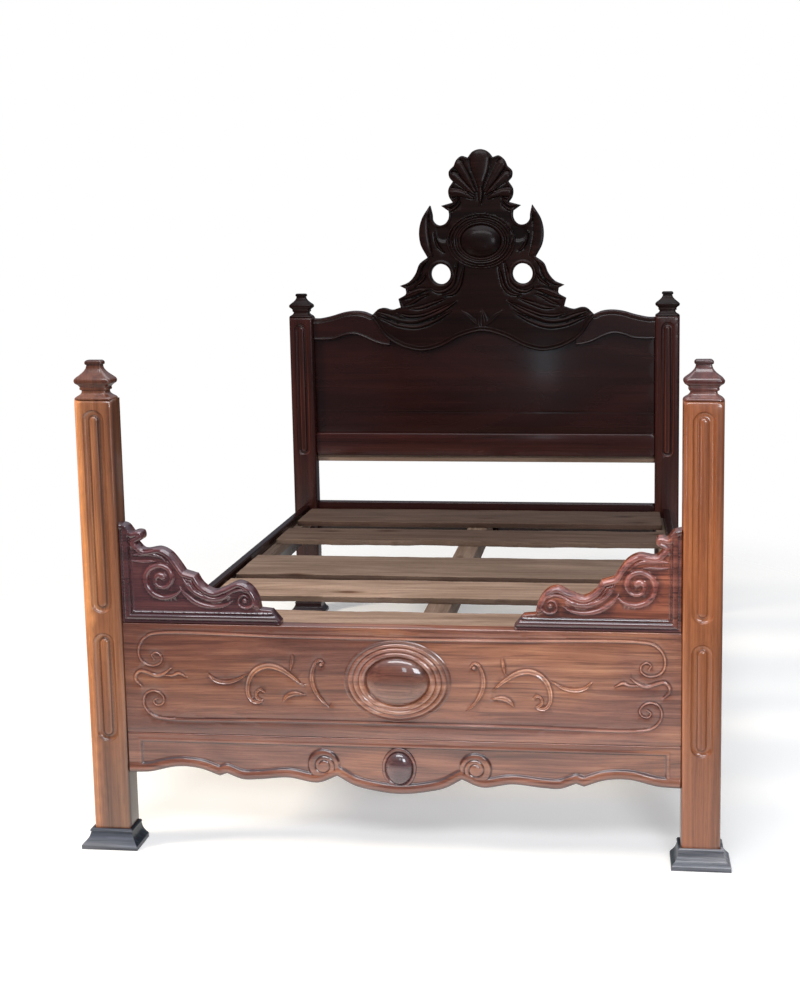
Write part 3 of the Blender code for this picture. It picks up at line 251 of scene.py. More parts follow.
def carvedBoard(name, loops, frontY, backY, heightAt, ease, fine, coarse, tolerance, rows=()):
    # front points lie close where the carving bends by more than the tolerance, else wide apart
    low = np.min([loop.min(0) for loop in loops], axis=0)
    high = np.max([loop.max(0) for loop in loops], axis=0)
    xs = np.arange(low[0] + fine * 0.37, high[0], fine)
    zs = np.arange(low[1] + fine * 0.41, high[1], fine)
    inside = insideLoops(xs, zs, loops)
    gx, gz = np.meshgrid(xs, zs)
    lattice = np.c_[gx.ravel(), gz.ravel()]
    height = np.zeros(len(lattice))
    edge = np.zeros(len(lattice))
    pick = np.flatnonzero(inside.ravel())
    edge[pick] = loopDistance(lattice[pick], loops)
    height[pick] = heightAt(lattice[pick], edge[pick])[0]
    h = height.reshape(inside.shape)
    bend = np.zeros(h.shape)
    beside = h[:-2, 1:-1] + h[2:, 1:-1] + h[1:-1, :-2] + h[1:-1, 2:]
    bend[1:-1, 1:-1] = np.abs(4 * h[1:-1, 1:-1] - beside)
    busy = bend > tolerance
    wide = busy.copy()
    for axis in (0, 1):
        for step in (-1, 1):
            wide |= np.roll(busy, step, axis)
    rowAt, colAt = np.indices(inside.shape)
    stagger = (rowAt // coarse % 2) * (coarse // 2)
    sparse = (rowAt % coarse == 0) & ((colAt + stagger) % coarse == 0)
    clear = ease * 1.15  # no inner point lies on the eased arris
    keep = (inside & (wide | sparse)).ravel() & (edge > max(clear, fine * 0.7))
    points, edges = [], []
    if len(rows):
        rows = np.vstack(rows)
        firsts = np.unique(np.round(rows / (fine * 0.45)), axis=0, return_index=True)[1]
        rows = rows[np.sort(firsts)]
        cell = np.round((rows - (xs[0], zs[0])) / fine).astype(int)
        cell = np.clip(cell, 0, (len(xs) - 1, len(zs) - 1))
        gap = loopDistance(rows, loops)
        good = inside[cell[:, 1], cell[:, 0]] & (gap > clear)
        taken = np.zeros(inside.shape, bool)
        taken[cell[good, 1], cell[good, 0]] = True
        for axis in (0, 1):
            taken |= np.roll(taken, 1, axis) | np.roll(taken, -1, axis)
        keep &= ~taken.ravel()
        points.append(rows[good])
        edges.append(gap[good])
    points.append(lattice[keep])
    edges.append(edge[keep])
    for share in (0.08, 0.3, 0.62, 1.0):  # rows of points round the eased arris
        for loop in loops:
            sign = 1 if loop is loops[0] else -1
            ring = loop + inwardNormals(loop) * ease * share * sign
            gap = loopDistance(ring, loops)
            good = gap > ease * share * 0.85
            points.append(ring[good])
            edges.append(gap[good])
    rim = np.vstack(loops)
    flat = np.vstack([rim] + points)
    edge = np.concatenate([np.zeros(len(rim))] + edges)
    starts = np.cumsum([0] + [len(loop) for loop in loops])
    rings = [[*range(a, b)] for a, b in zip(starts, starts[1:])]
    sides = [(ring[k], ring[(k + 1) % len(ring)]) for ring in rings for k in range(len(ring))]
    done = delaunay_2d_cdt([Vector(p) for p in flat], sides, [rings[0]], 1, 1e-8)
    spots = np.array([tuple(v) for v in done[0]])
    source = np.array([ids[0] if ids else -1 for ids in done[3]])
    gap = np.where(source >= 0, edge[source], 0.0)
    tris = np.array(done[2])
    for a, b in zip(starts[1:], starts[2:]):  # open up the piercings
        corners = source[tris]
        tris = tris[~((corners >= a) & (corners < b)).all(1)]
    height, shade = heightAt(spots, gap)
    drop = np.where(gap < ease, ease - np.sqrt(np.maximum(ease ** 2 - (ease - gap) ** 2, 0)), 0)
    faceY = frontY - height * np.clip(gap / max(ease, 0.002), 0, 1) + drop
    front = np.c_[spots[:, 0], faceY, spots[:, 1]]
    order = {int(s): k for k, s in enumerate(source) if 0 <= s < len(rim)}
    verts = np.vstack([front, np.c_[rim[:, 0], np.full(len(rim), backY), rim[:, 1]]])
    faces = [tuple(t) for t in tris]
    back = len(front)
    for a, b in sides:
        faces.append((order[a], order[b], back + b, back + a))
    rear = delaunay_2d_cdt([Vector(p) for p in rim], sides, [rings[0]], 1, 1e-8)
    rearSource = [ids[0] for ids in rear[3]]
    for tri in rear[2]:
        corners = [rearSource[k] for k in tri]
        if not any(all(a <= c < b for c in corners) for a, b in zip(starts[1:], starts[2:])):
            faces.append(tuple(back + c for c in corners))
    used = np.unique(np.concatenate([np.array(f) for f in faces]))
    renumber = np.full(len(verts), -1)
    renumber[used] = np.arange(len(used))
    faces = [tuple(int(renumber[k]) for k in f) for f in faces]
    shade = np.concatenate([shade, heightAt(rim, np.zeros(len(rim)))[1]])
    return meshPiece(name, verts[used], faces, shade[used])


def blendCarving(ridge, cut):  # one height and one shade from ridges and cuts: the shade paints ridges lighter, a painted highlight, and cuts darker, a painted shade
    bare = np.clip(1 - ridge / 0.0008, 0, 1)  # a cut shows only where no ridge stands
    shade = np.clip(ridge / 0.0042, 0, 1) ** 2 * 0.9 + np.clip(cut / 0.002, -1, 0) * bare
    return ridge + cut * bare, shade


def boardBox(low, high, ease=0.002):  # plain sawn board with eased arrises
    bm = bmesh.new()
    size = [b - a for a, b in zip(low, high)]
    middle = [(a + b) / 2 for a, b in zip(low, high)]
    place = Matrix.Translation(middle) @ Matrix.Diagonal((*size, 1.0))
    bmesh.ops.create_cube(bm, size=1.0, matrix=place)
    bmesh.ops.bevel(bm, geom=bm.edges[:], offset=ease, segments=3, profile=0.5, affect="EDGES")
    verts = [v.co[:] for v in bm.verts]
    faces = [[v.index for v in f.verts] for f in bm.faces]
    bm.free()
    return verts, faces


def settle(piece, body, slot, material, *nodes):
    piece.data.materials.clear()
    piece.data.materials.append(material)
    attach(piece, body)
    if nodes:
        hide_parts(*nodes)


# wood finishes
def node(tree, kind, place, **values):
    made = tree.nodes.new(kind)
    made.location = place
    for key, value in values.items():
        if hasattr(made, key):
            setattr(made, key, value)
        else:
            made.inputs[key.replace("_", " ")].default_value = value
    return made


def wire(tree, *pairs):
    for source, target in pairs:
        tree.links.new(source, target)


def ramp(tree, place, stops):
    made = tree.nodes.new("ShaderNodeValToRGB")
    made.location = place
    marks = made.color_ramp.elements
    while len(marks) < len(stops):
        marks.new(0.5)
    for mark, (spot, colour) in zip(marks, stops):
        mark.position = spot
        mark.color = colour if len(colour) == 4 else (*colour, 1.0)
    return made


def woodFinish(name, look, grain):
    # grain is the axis the fibres follow, look holds tones, how much of each layer, and the sheen
    material = bpy.data.materials.new(name)
    material.use_nodes = True
    tree = material.node_tree
    shader = tree.nodes["Principled BSDF"]
    place = node(tree, "ShaderNodeTexCoord", (-2700, 0))
    along = {"X": 0, "Y": 1, "Z": 2}[grain]
    slow, sway = [5.0] * 3, [look["sway"]] * 3
    slow[along], sway[along] = 1.5, 0.0
    stretch = node(tree, "ShaderNodeMapping", (-2500, 200))
    stretch.inputs["Scale"].default_value = slow
    drift = node(tree, "ShaderNodeTexNoise", (-2300, 200), Scale=1.0, Detail=2.0)
    lean = node(tree, "ShaderNodeVectorMath", (-2100, 200), operation="SUBTRACT")
    lean.inputs[1].default_value = (0.5, 0.5, 0.5)
    # the fibres wander a little
    bent = node(tree, "ShaderNodeVectorMath", (-1900, 0), operation="MULTIPLY_ADD")
    bent.inputs[1].default_value = sway
    wire(tree, (place.outputs["Object"], stretch.inputs["Vector"]),
         (stretch.outputs["Vector"], drift.inputs["Vector"]),
         (drift.outputs["Color"], lean.inputs[0]), (lean.outputs["Vector"], bent.inputs[0]),
         (place.outputs["Object"], bent.inputs[2]))

    def layer(alongScale, acrossScale, y, **values):
        scale = [acrossScale] * 3
        scale[along] = alongScale
        mapping = node(tree, "ShaderNodeMapping", (-1700, y))
        mapping.inputs["Scale"].default_value = scale
        mapping.inputs["Location"].default_value = look["offset"]
        noise = node(tree, "ShaderNodeTexNoise", (-1500, y), Scale=1.0, **values)
        wire(tree, (bent.outputs["Vector"], mapping.inputs["Vector"]),
             (mapping.outputs["Vector"], noise.inputs["Vector"]))
        return noise.outputs["Fac"]

    def blend(a, b, share, y):
        made = node(tree, "ShaderNodeMix", (-900, y), data_type="FLOAT")
        made.inputs[0].default_value = share
        wire(tree, (a, made.inputs[2]), (b, made.inputs[3]))
        return made.outputs[0]

    def times(a, b, spot):
        made = node(tree, "ShaderNodeMix", spot, data_type="RGBA", blend_type="MULTIPLY",
                    clamp_result=True)
        made.inputs[0].default_value = 1.0
        wire(tree, (a, made.inputs[6]), (b, made.inputs[7]))
        return made.outputs[2]

    swirl = layer(0.5, 5.0, 400, Detail=2.0, Roughness=0.5, Distortion=0.6)
    bands = layer(0.6, 38.0, 150, Detail=4.0, Roughness=0.6, Distortion=0.5)
    streak = layer(2.2, 150.0, -100, Detail=5.0, Roughness=0.65, Distortion=0.2)
    patch = layer(1.3, 4.2, -350, Detail=3.0, Roughness=0.55, Distortion=1.2)
    pores = layer(34.0, 1200.0, -600, Detail=2.0, Roughness=0.5)
    lines = layer(2.6, 105.0, -1050, Detail=2.0, Roughness=0.5, Distortion=0.3)
    # growth rings are contour lines of the swirl
    contour = node(tree, "ShaderNodeMath", (-1250, 400), operation="MULTIPLY")
    contour.inputs[1].default_value = look["rings"]
    wave = node(tree, "ShaderNodeMath", (-1100, 400), operation="PINGPONG")
    wave.inputs[1].default_value = 1.0
    wire(tree, (swirl, contour.inputs[0]), (contour.outputs[0], wave.inputs[0]))
    mixed = blend(blend(bands, streak, look["streak"], 200), wave.outputs[0], look["contour"], 350)
    tone = ramp(tree, (-640, 150), look["tones"])
    wire(tree, (mixed, tone.inputs["Fac"]))
    plain = (1, 1, 1)
    hue = ramp(tree, (-640, -60), [(0.38, look["patchDark"]), (0.52, plain),
                                   (0.66, look["patchLight"])])
    wire(tree, (patch, hue.inputs["Fac"]))
    poreMark = ramp(tree, (-640, -560), [(0.30, (look["pore"],) * 3), (0.46, plain)])
    wire(tree, (pores, poreMark.inputs["Fac"]))
    shade = node(tree, "ShaderNodeAttribute", (-900, -260), attribute_name="carveShade")
    half = node(tree, "ShaderNodeMath", (-740, -330), operation="MULTIPLY_ADD")
    half.inputs[1].default_value = 0.5
    half.inputs[2].default_value = 0.5
    # carveShade tints the colour towards cutTone for painted shade in cuts, creases and shaded faces,
    # and towards ridgeTone for painted highlights on ridges and lit edges; it also carries some plain
    # tone differences
    shadeTintStops = [(0.0, look["cutTone"]), (0.5, (0.72, 0.72, 0.72)), (1.0, look["ridgeTone"])]
    shadeTint = ramp(tree, (-560, -300), shadeTintStops)
    wire(tree, (shade.outputs["Fac"], half.inputs[0]), (half.outputs[0], shadeTint.inputs["Fac"]))
    lineMark = ramp(tree, (-640, -1050), [(0.36, look["line"]), (0.45, plain)])
    wire(tree, (lines, lineMark.inputs["Fac"]))
    colour = times(tone.outputs["Color"], hue.outputs["Color"], (-360, 100))
    colour = times(colour, poreMark.outputs["Color"], (-240, 60))
    colour = times(colour, lineMark.outputs["Color"], (-200, 80))
    if "knotTone" in look:  # dark hearts of branches
        spread = [9.0] * 3
        spread[along] = 2.6
        knotPlace = node(tree, "ShaderNodeMapping", (-1700, -850))
        knotPlace.inputs["Scale"].default_value = spread
        knots = node(tree, "ShaderNodeTexVoronoi", (-1500, -850), Scale=1.0, Randomness=1.0)
        knotTones = [(0.05, look["knotTone"]), (0.10, (0.62, 0.55, 0.50)), (0.19, plain)]
        knotMark = ramp(tree, (-640, -820), knotTones)
        wire(tree, (place.outputs["Object"], knotPlace.inputs["Vector"]),
             (knotPlace.outputs["Vector"], knots.inputs["Vector"]),
             (knots.outputs["Distance"], knotMark.inputs["Fac"]))
        colour = times(colour, knotMark.outputs["Color"], (-180, 50))
    wire(tree, (times(colour, shadeTint.outputs["Color"], (-120, 40)), shader.inputs["Base Color"]))
    rough = node(tree, "ShaderNodeMapRange", (-360, -420))
    rough.inputs["To Min"].default_value = look["rough"][0]
    rough.inputs["To Max"].default_value = look["rough"][1]
    wire(tree, (patch, rough.inputs["Value"]), (rough.outputs["Result"], shader.inputs["Roughness"]))
    bump = node(tree, "ShaderNodeBump", (-180, -520), Strength=look["bump"], Distance=0.0006)
    wire(tree, (blend(streak, pores, 0.4, -500), bump.inputs["Height"]),
         (bump.outputs["Normal"], shader.inputs["Normal"]))
    shader.inputs["Specular IOR Level"].default_value = look["specular"]
    shader.inputs["Coat Weight"].default_value = look["coat"]
    shader.inputs["Coat Roughness"].default_value = look["coatRough"]
    shader.inputs["Coat IOR"].default_value = look["coatIor"]
    return material


def tones(dark, mid, light, spread=(0.34, 0.5, 0.66)):
    return list(zip(spread, (dark, mid, light)))


# cutTone and ridgeTone are the colours carveShade reaches at -1 and +1: mostly painted shade and painted
# light; in bossLook ridgeTone is the ring's own colour
honeyLook = dict(tones=tones((0.22, 0.076, 0.033), (0.415, 0.154, 0.068), (0.60, 0.255, 0.118)),
                 offset=(0.31, 0.22, 0.07),
                 rings=9.0, contour=0.10, streak=0.45, pore=0.70, patchDark=(0.84, 0.80, 0.78),
                 patchLight=(1.20, 1.22, 1.15),
                 cutTone=(0.10, 0.115, 0.165), ridgeTone=(1.80, 1.90, 1.65), rough=(0.24, 0.42),
                 bump=0.14, specular=0.4,
                 coat=0.7, coatRough=0.08, coatIor=1.65, sway=0.02, line=(0.80, 0.76, 0.74))
honeyRightLook = dict(honeyLook, tones=tones((0.26, 0.0735, 0.0255), (0.495, 0.152, 0.0515),
                                             (0.725, 0.246, 0.090)), offset=(0.8, 0.1, 0.4),
                      cutTone=(0.25, 0.26, 0.31))
footLook = dict(honeyLook, tones=tones((0.16, 0.050, 0.025), (0.365, 0.128, 0.072), (0.58, 0.25, 0.147),
                                       (0.29, 0.5, 0.71)), offset=(0.12, 0.4, 0.9),
                rings=22.0, contour=0.14, streak=0.70, patchDark=(0.78, 0.74, 0.80),
                patchLight=(1.28, 1.33, 1.16),
                sway=0.05, line=(0.66, 0.62, 0.64), cutTone=(0.30, 0.22, 0.21),
                ridgeTone=(1.40, 1.75, 2.10), rough=(0.26, 0.40), coat=0.8, coatRough=0.06,
                coatIor=1.75)
medallionLook = dict(footLook, cutTone=(0.27, 0.24, 0.29), ridgeTone=(1.06, 1.36, 1.72))
# apronLook's darker cutTone is for the painted shade along the apron's lower edge
apronLook = dict(footLook, cutTone=(0.15, 0.105, 0.115))
bossLook = dict(footLook, tones=tones((0.075, 0.032, 0.034), (0.125, 0.053, 0.056),
                                      (0.19, 0.083, 0.086)), cutTone=(0.3, 0.26, 0.27),
                ridgeTone=(3.1, 2.4, 1.2), rough=(0.20, 0.32))
# one bracket wood in two copies: the left bracket's darker purple look is painted shade, the right one's
# lighter orange look is painted light
shadedBracketLook = dict(honeyLook, tones=tones((0.068, 0.0195, 0.0215), (0.142, 0.041, 0.042),
                                          (0.225, 0.076, 0.070)),
                   offset=(1.7, 0.6, 0.2), rough=(0.16, 0.26), coat=0.8, coatRough=0.05, coatIor=1.8,
                   patchDark=(0.80, 0.78, 0.84),
                   patchLight=(1.15, 1.12, 1.12), cutTone=(0.30, 0.27, 0.32),
                   ridgeTone=(0.80, 0.79, 0.85))
litBracketLook = dict(shadedBracketLook, tones=tones((0.14, 0.037, 0.020), (0.43, 0.124, 0.066),
                                                 (0.68, 0.235, 0.125)),
                        offset=(0.4, 0.2, 1.1), rings=24.0, contour=0.14, streak=0.60,
                        line=(0.55, 0.5, 0.5),
                        cutTone=(0.13, 0.15, 0.34), ridgeTone=(0.62, 0.66, 0.98))
finialLook = dict(honeyLook, tones=tones((0.09, 0.028, 0.0155), (0.160, 0.050, 0.0265),
                                         (0.24, 0.085, 0.046)), coat=0.45,
                  cutTone=(0.25, 0.26, 0.31), ridgeTone=(1.45, 1.75, 1.75))
finialRightLook = dict(finialLook, tones=tones((0.066, 0.0145, 0.0115), (0.122, 0.027, 0.0205),
                                               (0.19, 0.050, 0.037)),
                       ridgeTone=(1.75, 2.6, 2.3))
darkLook = dict(honeyLook, tones=tones((0.0100, 0.0026, 0.0024), (0.0215, 0.0052, 0.0044),
                                       (0.038, 0.0105, 0.0084), (0.22, 0.5, 0.78)),
                offset=(0.9, 0.1, 1.4), rough=(0.20, 0.34), specular=0.22, coat=0.14, coatRough=0.12,
                bump=0.08, pore=0.8,
                patchDark=(0.8, 0.86, 0.9), patchLight=(1.25, 1.15, 1.1), cutTone=(0.22, 0.22, 0.22),
                ridgeTone=(1.0, 0.98, 0.95), line=(0.88, 0.86, 0.86))
crestLook = dict(darkLook, tones=tones((0.0060, 0.0021, 0.0017), (0.0120, 0.0040, 0.0032),
                                       (0.021, 0.0078, 0.0060)),
                 rough=(0.28, 0.40), specular=0.09, coat=0.06, coatRough=0.14)
stileLook = dict(darkLook, tones=tones((0.019, 0.0049, 0.0038), (0.040, 0.0100, 0.0078),
                                       (0.068, 0.0190, 0.0145)), ridgeTone=(3.3, 4.0, 3.4))
sillLook = dict(darkLook, tones=tones((0.024, 0.0062, 0.0052), (0.050, 0.0125, 0.0105),
                                      (0.085, 0.0240, 0.0190)))
plinthLook = dict(honeyLook, tones=tones((0.042, 0.046, 0.056), (0.105, 0.110, 0.128),
                                         (0.25, 0.256, 0.280)), rough=(0.34, 0.55),
                  patchDark=(0.70, 0.76, 0.86), patchLight=(2.6, 2.5, 2.45), coat=0.3, streak=0.75,
                  line=(0.42, 0.44, 0.5),
                  cutTone=(0.10, 0.19, 0.24), ridgeTone=(1.5, 1.42, 1.38))
rawLook = dict(honeyLook, tones=tones((0.195, 0.128, 0.093), (0.310, 0.215, 0.165),
                                      (0.43, 0.313, 0.245), (0.26, 0.5, 0.74)),
               offset=(2.1, 0.7, 0.4), rings=20.0, contour=0.16, streak=0.72, pore=0.60,
               rough=(0.6, 0.8), bump=0.6, specular=0.2,
               coat=0.0, patchDark=(0.86, 0.84, 0.82), patchLight=(1.12, 1.11, 1.10),
               cutTone=(0.17, 0.135, 0.125),
               ridgeTone=(1.08, 1.06, 1.04), knotTone=(0.32, 0.21, 0.16))
honeyWood = woodFinish("honey varnish upright", honeyLook, "Z")
honeyRightWood = woodFinish("honey varnish right", honeyRightLook, "Z")
footWood = woodFinish("footboard varnish", footLook, "X")
medallionWood = woodFinish("medallion varnish", medallionLook, "X")
apronWood = woodFinish("apron varnish", apronLook, "X")
bossWood = woodFinish("boss varnish", bossLook, "X")
shadedBracketWood = woodFinish("bracket varnish left", shadedBracketLook, "X")
litBracketWood = woodFinish("bracket varnish right", litBracketLook, "X")
finialWood = woodFinish("finial varnish", finialLook, "Z")
finialRightWood = woodFinish("finial varnish right", finialRightLook, "Z")
darkWood = woodFinish("dark varnish level", darkLook, "X")
crestWood = woodFinish("crest varnish", crestLook, "X")
darkPostWood = woodFinish("dark varnish upright", stileLook, "Z")
darkSillWood = woodFinish("dark varnish sill", sillLook, "X")
darkRailWood = woodFinish("dark varnish lengthwise", darkLook, "Y")
plinthWood = woodFinish("scuffed plinth", plinthLook, "X")
rawWood = woodFinish("sawn plank", rawLook, "X")
rawLongWood = woodFinish("sawn plank lengthwise", rawLook, "Y")
print("wood finishes ready")
frameBody = "bed_frame"
seamGap = 0.0003


# posts with a stopped flute and a round rib in it
postShape = dict(ease=0.0095, fluteRadius=0.0290, topMargin=0.026,
                 ribs=((0.0, -0.0004), (0.0050, -0.0006), (0.0085, -0.0016), (0.0110, -0.0034),
                       (0.0122, -0.0060), (0.0134, -0.0070),
                       (0.0180, -0.0072), (0.0225, -0.0064), (0.0256, -0.0040), (0.0278, -0.0012),
                       (0.0286, 0.0)),
                 # fluteShade: painted shade along the rib's foot and the flute's outer wall, painted
                 # light on the rib and the groove floor; glints: painted glints on the head posts' rib
                 # shoulders and outer lip, with the same painted shade
                 fluteShade=((0.0, 0.12), (0.0085, 0.06), (0.0110, -0.3), (0.0124, -0.9), (0.0138, -0.4),
                          (0.0160, 0.08),
                          (0.0225, 0.16), (0.0262, 0.0), (0.0282, -0.35), (0.0294, 0.06), (0.0325, 0.0),
                          (1.0, 0.0)),
                 glints=((0.0, 0.02), (0.0065, 0.06), (0.0088, 0.85), (0.0108, 0.15), (0.0124, -0.9),
                         (0.0145, -0.6), (0.0190, -0.15),
                         (0.0230, 0.0), (0.0262, 0.55), (0.0282, -0.2), (0.0294, 0.0), (1.0, 0.0)))


def makePost(end, side, flutes, material, slot, lowShade=0.0, innerShade=0.0, arrisLight=0.0, crisp=1.0,
             lowReach=(0.12, 0.42)):
    name = f"{end}_post_{side}"
    low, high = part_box(name)
    loop = rectangle(low[0], high[0], low[2], high[2], 0.012)
    middle = (low[0] + high[0]) / 2
    depths, drops = zip(*postShape["ribs"])
    radius = postShape["fluteRadius"]
    fluteShade, fadeUp = (postShape["fluteShade"], 0.0) if end == "foot" else (postShape["glints"], 0.75)
    innerEdge, outerEdge = (high[0], low[0]) if side == "left" else (low[0], high[0])

    def heightAt(xz, edge):
        height = np.zeros(len(xz))
        shade = np.zeros(len(xz))
        for bottom, top in flutes:
            spine = np.array([(middle, bottom + radius), (middle, top - radius)])
            gap = lineDistance(xz, spine)[0]
            height += np.where(gap < depths[-1], np.interp(gap, depths, drops), 0)
            # the head posts' painted glints fade towards the top
            fade = 1 - fadeUp * softStep(xz[:, 1], 0.95, 1.20)
            shade += crisp * np.interp(gap, *zip(*fluteShade)) * fade
        # painted shade and light by height: the foot posts darker low down, the head posts lighter low
        # down
        shade += lowShade * (1 - softStep(xz[:, 1], *lowReach))
        # painted shade on the inner side face and along its arris, strongest low down
        inner = innerShade * np.interp(xz[:, 1], (0.25, 0.45), (1.0, 0.6))
        shade += inner * (1 - softStep(np.abs(xz[:, 0] - innerEdge), 0.0, 0.004))
        # the outer arris painted: a painted sunlit strip on the left foot post, painted shade on the
        # right one's
        strip = np.interp(xz[:, 1], (0.05, 0.30, 0.50, 1.2), (0.032, 0.030, 0.027, 0.027))
        shade += arrisLight * (1 - softStep(np.abs(xz[:, 0] - outerEdge) / strip, 0.5, 1.05))
        return height, np.clip(shade, -1, 1)

    rows = []
    for bottom, top in flutes:
        rows += slotRows(middle, bottom + radius, top - radius, depths + (0.0306,))
    piece = carvedBoard(f"{end} post {side}", [loop], low[1], high[1], heightAt,
                        ease=postShape["ease"], fine=0.0018, coarse=14, tolerance=0.00008, rows=rows)
    settle(piece, frameBody, slot, material, name)


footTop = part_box("footboard_panel")[1][2]
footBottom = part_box("footboard_panel")[0][2]
for side in ("left", "right"):
    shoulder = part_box(f"foot_post_{side}")[1][2]
    margin = postShape["topMargin"]
    # the left foot post gets painted shade low down and on its inner face and a painted sunlit strip on
    # its outer arris; the right one painted shade low down, on its inner face and on its outer arris;
    # the head posts a little painted light low down
    makePost("foot", side, ((footTop + margin, shoulder - margin),
                            (footBottom - margin, footTop - margin)),
             *((honeyWood, "honey_wood", -0.57, -1.0, 1.0) if side == "left" else
               (honeyRightWood, "honey_wood", -0.42, -0.5, -0.3, 0.5, (0.55, 0.80))))
    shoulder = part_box(f"head_post_{side}")[1][2]
    makePost("head", side, ((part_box("head_lower_rail")[0][2], shoulder - margin),), darkPostWood,
             "dark_wood", 0.06, lowReach=(0.55, 0.80))
print("posts carved")


# finials: four-sided, soft corners, profile in shares of height and of half the post's width
finialShape = dict(profile=((0.0, 1.0, 1), (0.03, 0.99, 0), (0.07, 0.90, 0), (0.12, 0.745, 0),
                            (0.17, 0.665, 0), (0.23, 0.655, 1),
                            (0.24, 0.73, 0), (0.275, 0.75, 0), (0.31, 0.73, 1), (0.325, 0.755, 0),
                            (0.36, 0.81, 0), (0.42, 0.97, 0),
                            (0.465, 1.0, 1), (0.49, 1.0, 0), (0.54, 0.94, 0), (0.62, 0.74, 0),
                            (0.70, 0.56, 0), (0.79, 0.43, 0),
                            (0.875, 0.385, 1), (0.89, 0.45, 0), (0.93, 0.47, 0), (0.97, 0.45, 0),
                            (1.0, 0.37, 1)),
                   corner=0.42, cornerSteps=8,
                   tone=((0.0, 0.6), (0.19, 0.55), (0.30, 0.05), (0.45, 0.0), (0.85, -0.15),
                         (0.87, -0.7)))


def finialRing(half, depth, steps, corner):
    r = corner * half * depth
    ring = []
    for k, (sx, sy) in enumerate(((1, 1), (-1, 1), (-1, -1), (1, -1))):
        start = math.pi / 2 * k
        centre = (sx * (half - r), sy * (half * depth - r))
        for j in range(steps + 1):
            a = start + math.pi / 2 * j / steps
            ring.append((centre[0] + r * math.cos(a), centre[1] + r * math.sin(a)))
    return ring


def makeFinial(end, side, material, slot):
    name = f"{end}_finial_{side}"
    postLow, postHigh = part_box(f"{end}_post_{side}")
    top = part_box(name)[1][2]
    base = postHigh[2] + seamGap
    x, y = (postLow[0] + postHigh[0]) / 2, (postLow[1] + postHigh[1]) / 2
    half = (postHigh[0] - postLow[0]) / 2
    depth = (postHigh[1] - postLow[1]) / (postHigh[0] - postLow[0])
    shape = finialShape
    tall = top - base
    knots = [(up * tall, out * half, corner) for up, out, corner in shape["profile"]]
    profile = profileRun(knots, 0.0016)
    verts = []
    shade = []
    count = 4 * (shape["cornerSteps"] + 1)
    for up, reach in profile:
        reach = min(reach, half)
        tone = np.interp(up / tall, *zip(*shape["tone"]))
        for px, py in finialRing(reach, depth, shape["cornerSteps"], shape["corner"]):
            verts.append((x + px, y + py, base + up))
            shade.append(tone)
    rows = len(profile)
    faces = [(r * count + k, r * count + (k + 1) % count, (r + 1) * count + (k + 1) % count,
              (r + 1) * count + k)
             for r in range(rows - 1) for k in range(count)]
    faces += [tuple(range(count)), tuple((rows - 1) * count + k for k in range(count))]
    piece = meshPiece(f"{end} finial {side}", verts, faces, shade, 32)
    settle(piece, frameBody, slot, material, name)


for side in ("left", "right"):
    makeFinial("foot", side, finialWood if side == "left" else finialRightWood, "honey_wood")
    makeFinial("head", side, crestWood, "dark_wood")
print("finials shaped")


# plinth mouldings: toe, hollow and top bead, mitred at the corners
plinthShape = dict(knots=((0.0262, 0.0, 1), (0.0262, 0.011, 1), (0.0240, 0.0135, 0),
                          (0.0170, 0.0195, 0), (0.0110, 0.0280, 0),
                          (0.0075, 0.0380, 0), (0.0066, 0.0415, 1), (0.0085, 0.0435, 0),
                          (0.0085, 0.0470, 0), (0.0060, 0.0500, 1)))


def makePlinth(end, side, part, material, slot):
    name = f"{end}_plinth_{side}_{part}"
    low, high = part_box(name)
    face = [tuple(p) for p in profileRun(plinthShape["knots"], 0.0016)]
    profile = [(seamGap, 0.0)] + face + [(seamGap, 0.05)]
    postLow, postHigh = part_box(f"{end}_post_{side}")
    front = postLow[1]
    verts = []
    if part == "front":
        for sx, x in ((-1, postLow[0]), (1, postHigh[0])):
            verts += [(x + sx * (out - 0.0002), front - out, up) for out, up in profile]
    else:
        onRight = low[0] > postLow[0] + 0.01
        x, sx = (postHigh[0], 1) if onRight else (postLow[0], -1)
        verts += [(x + sx * out, front - out + 0.0002, up) for out, up in profile]
        verts += [(x + sx * out, high[1], up) for out, up in profile]
    n = len(profile)
    faces = [(k, (k + 1) % n, n + (k + 1) % n, n + k) for k in range(n)]
    faces += [tuple(range(n)), tuple(range(n, 2 * n))]
    # painted light and shade by face on the foot plinths: front and outer faces lighter, inner return
    # darker
    sideShade = {"front": 0.35, "inner": -0.8, "outer": 0.5}[part] if end == "foot" else 0.0
    piece = meshPiece(f"{end} plinth {side} {part}", verts, faces, np.full(2 * n, sideShade), 30)
    settle(piece, frameBody, slot, material, name)


for side in ("left", "right"):
    for part in ("front", "inner", "outer"):
        makePlinth("foot", side, part, plinthWood, "honey_wood")
        makePlinth("head", side, part, darkWood, "dark_wood")
print("plinths moulded")

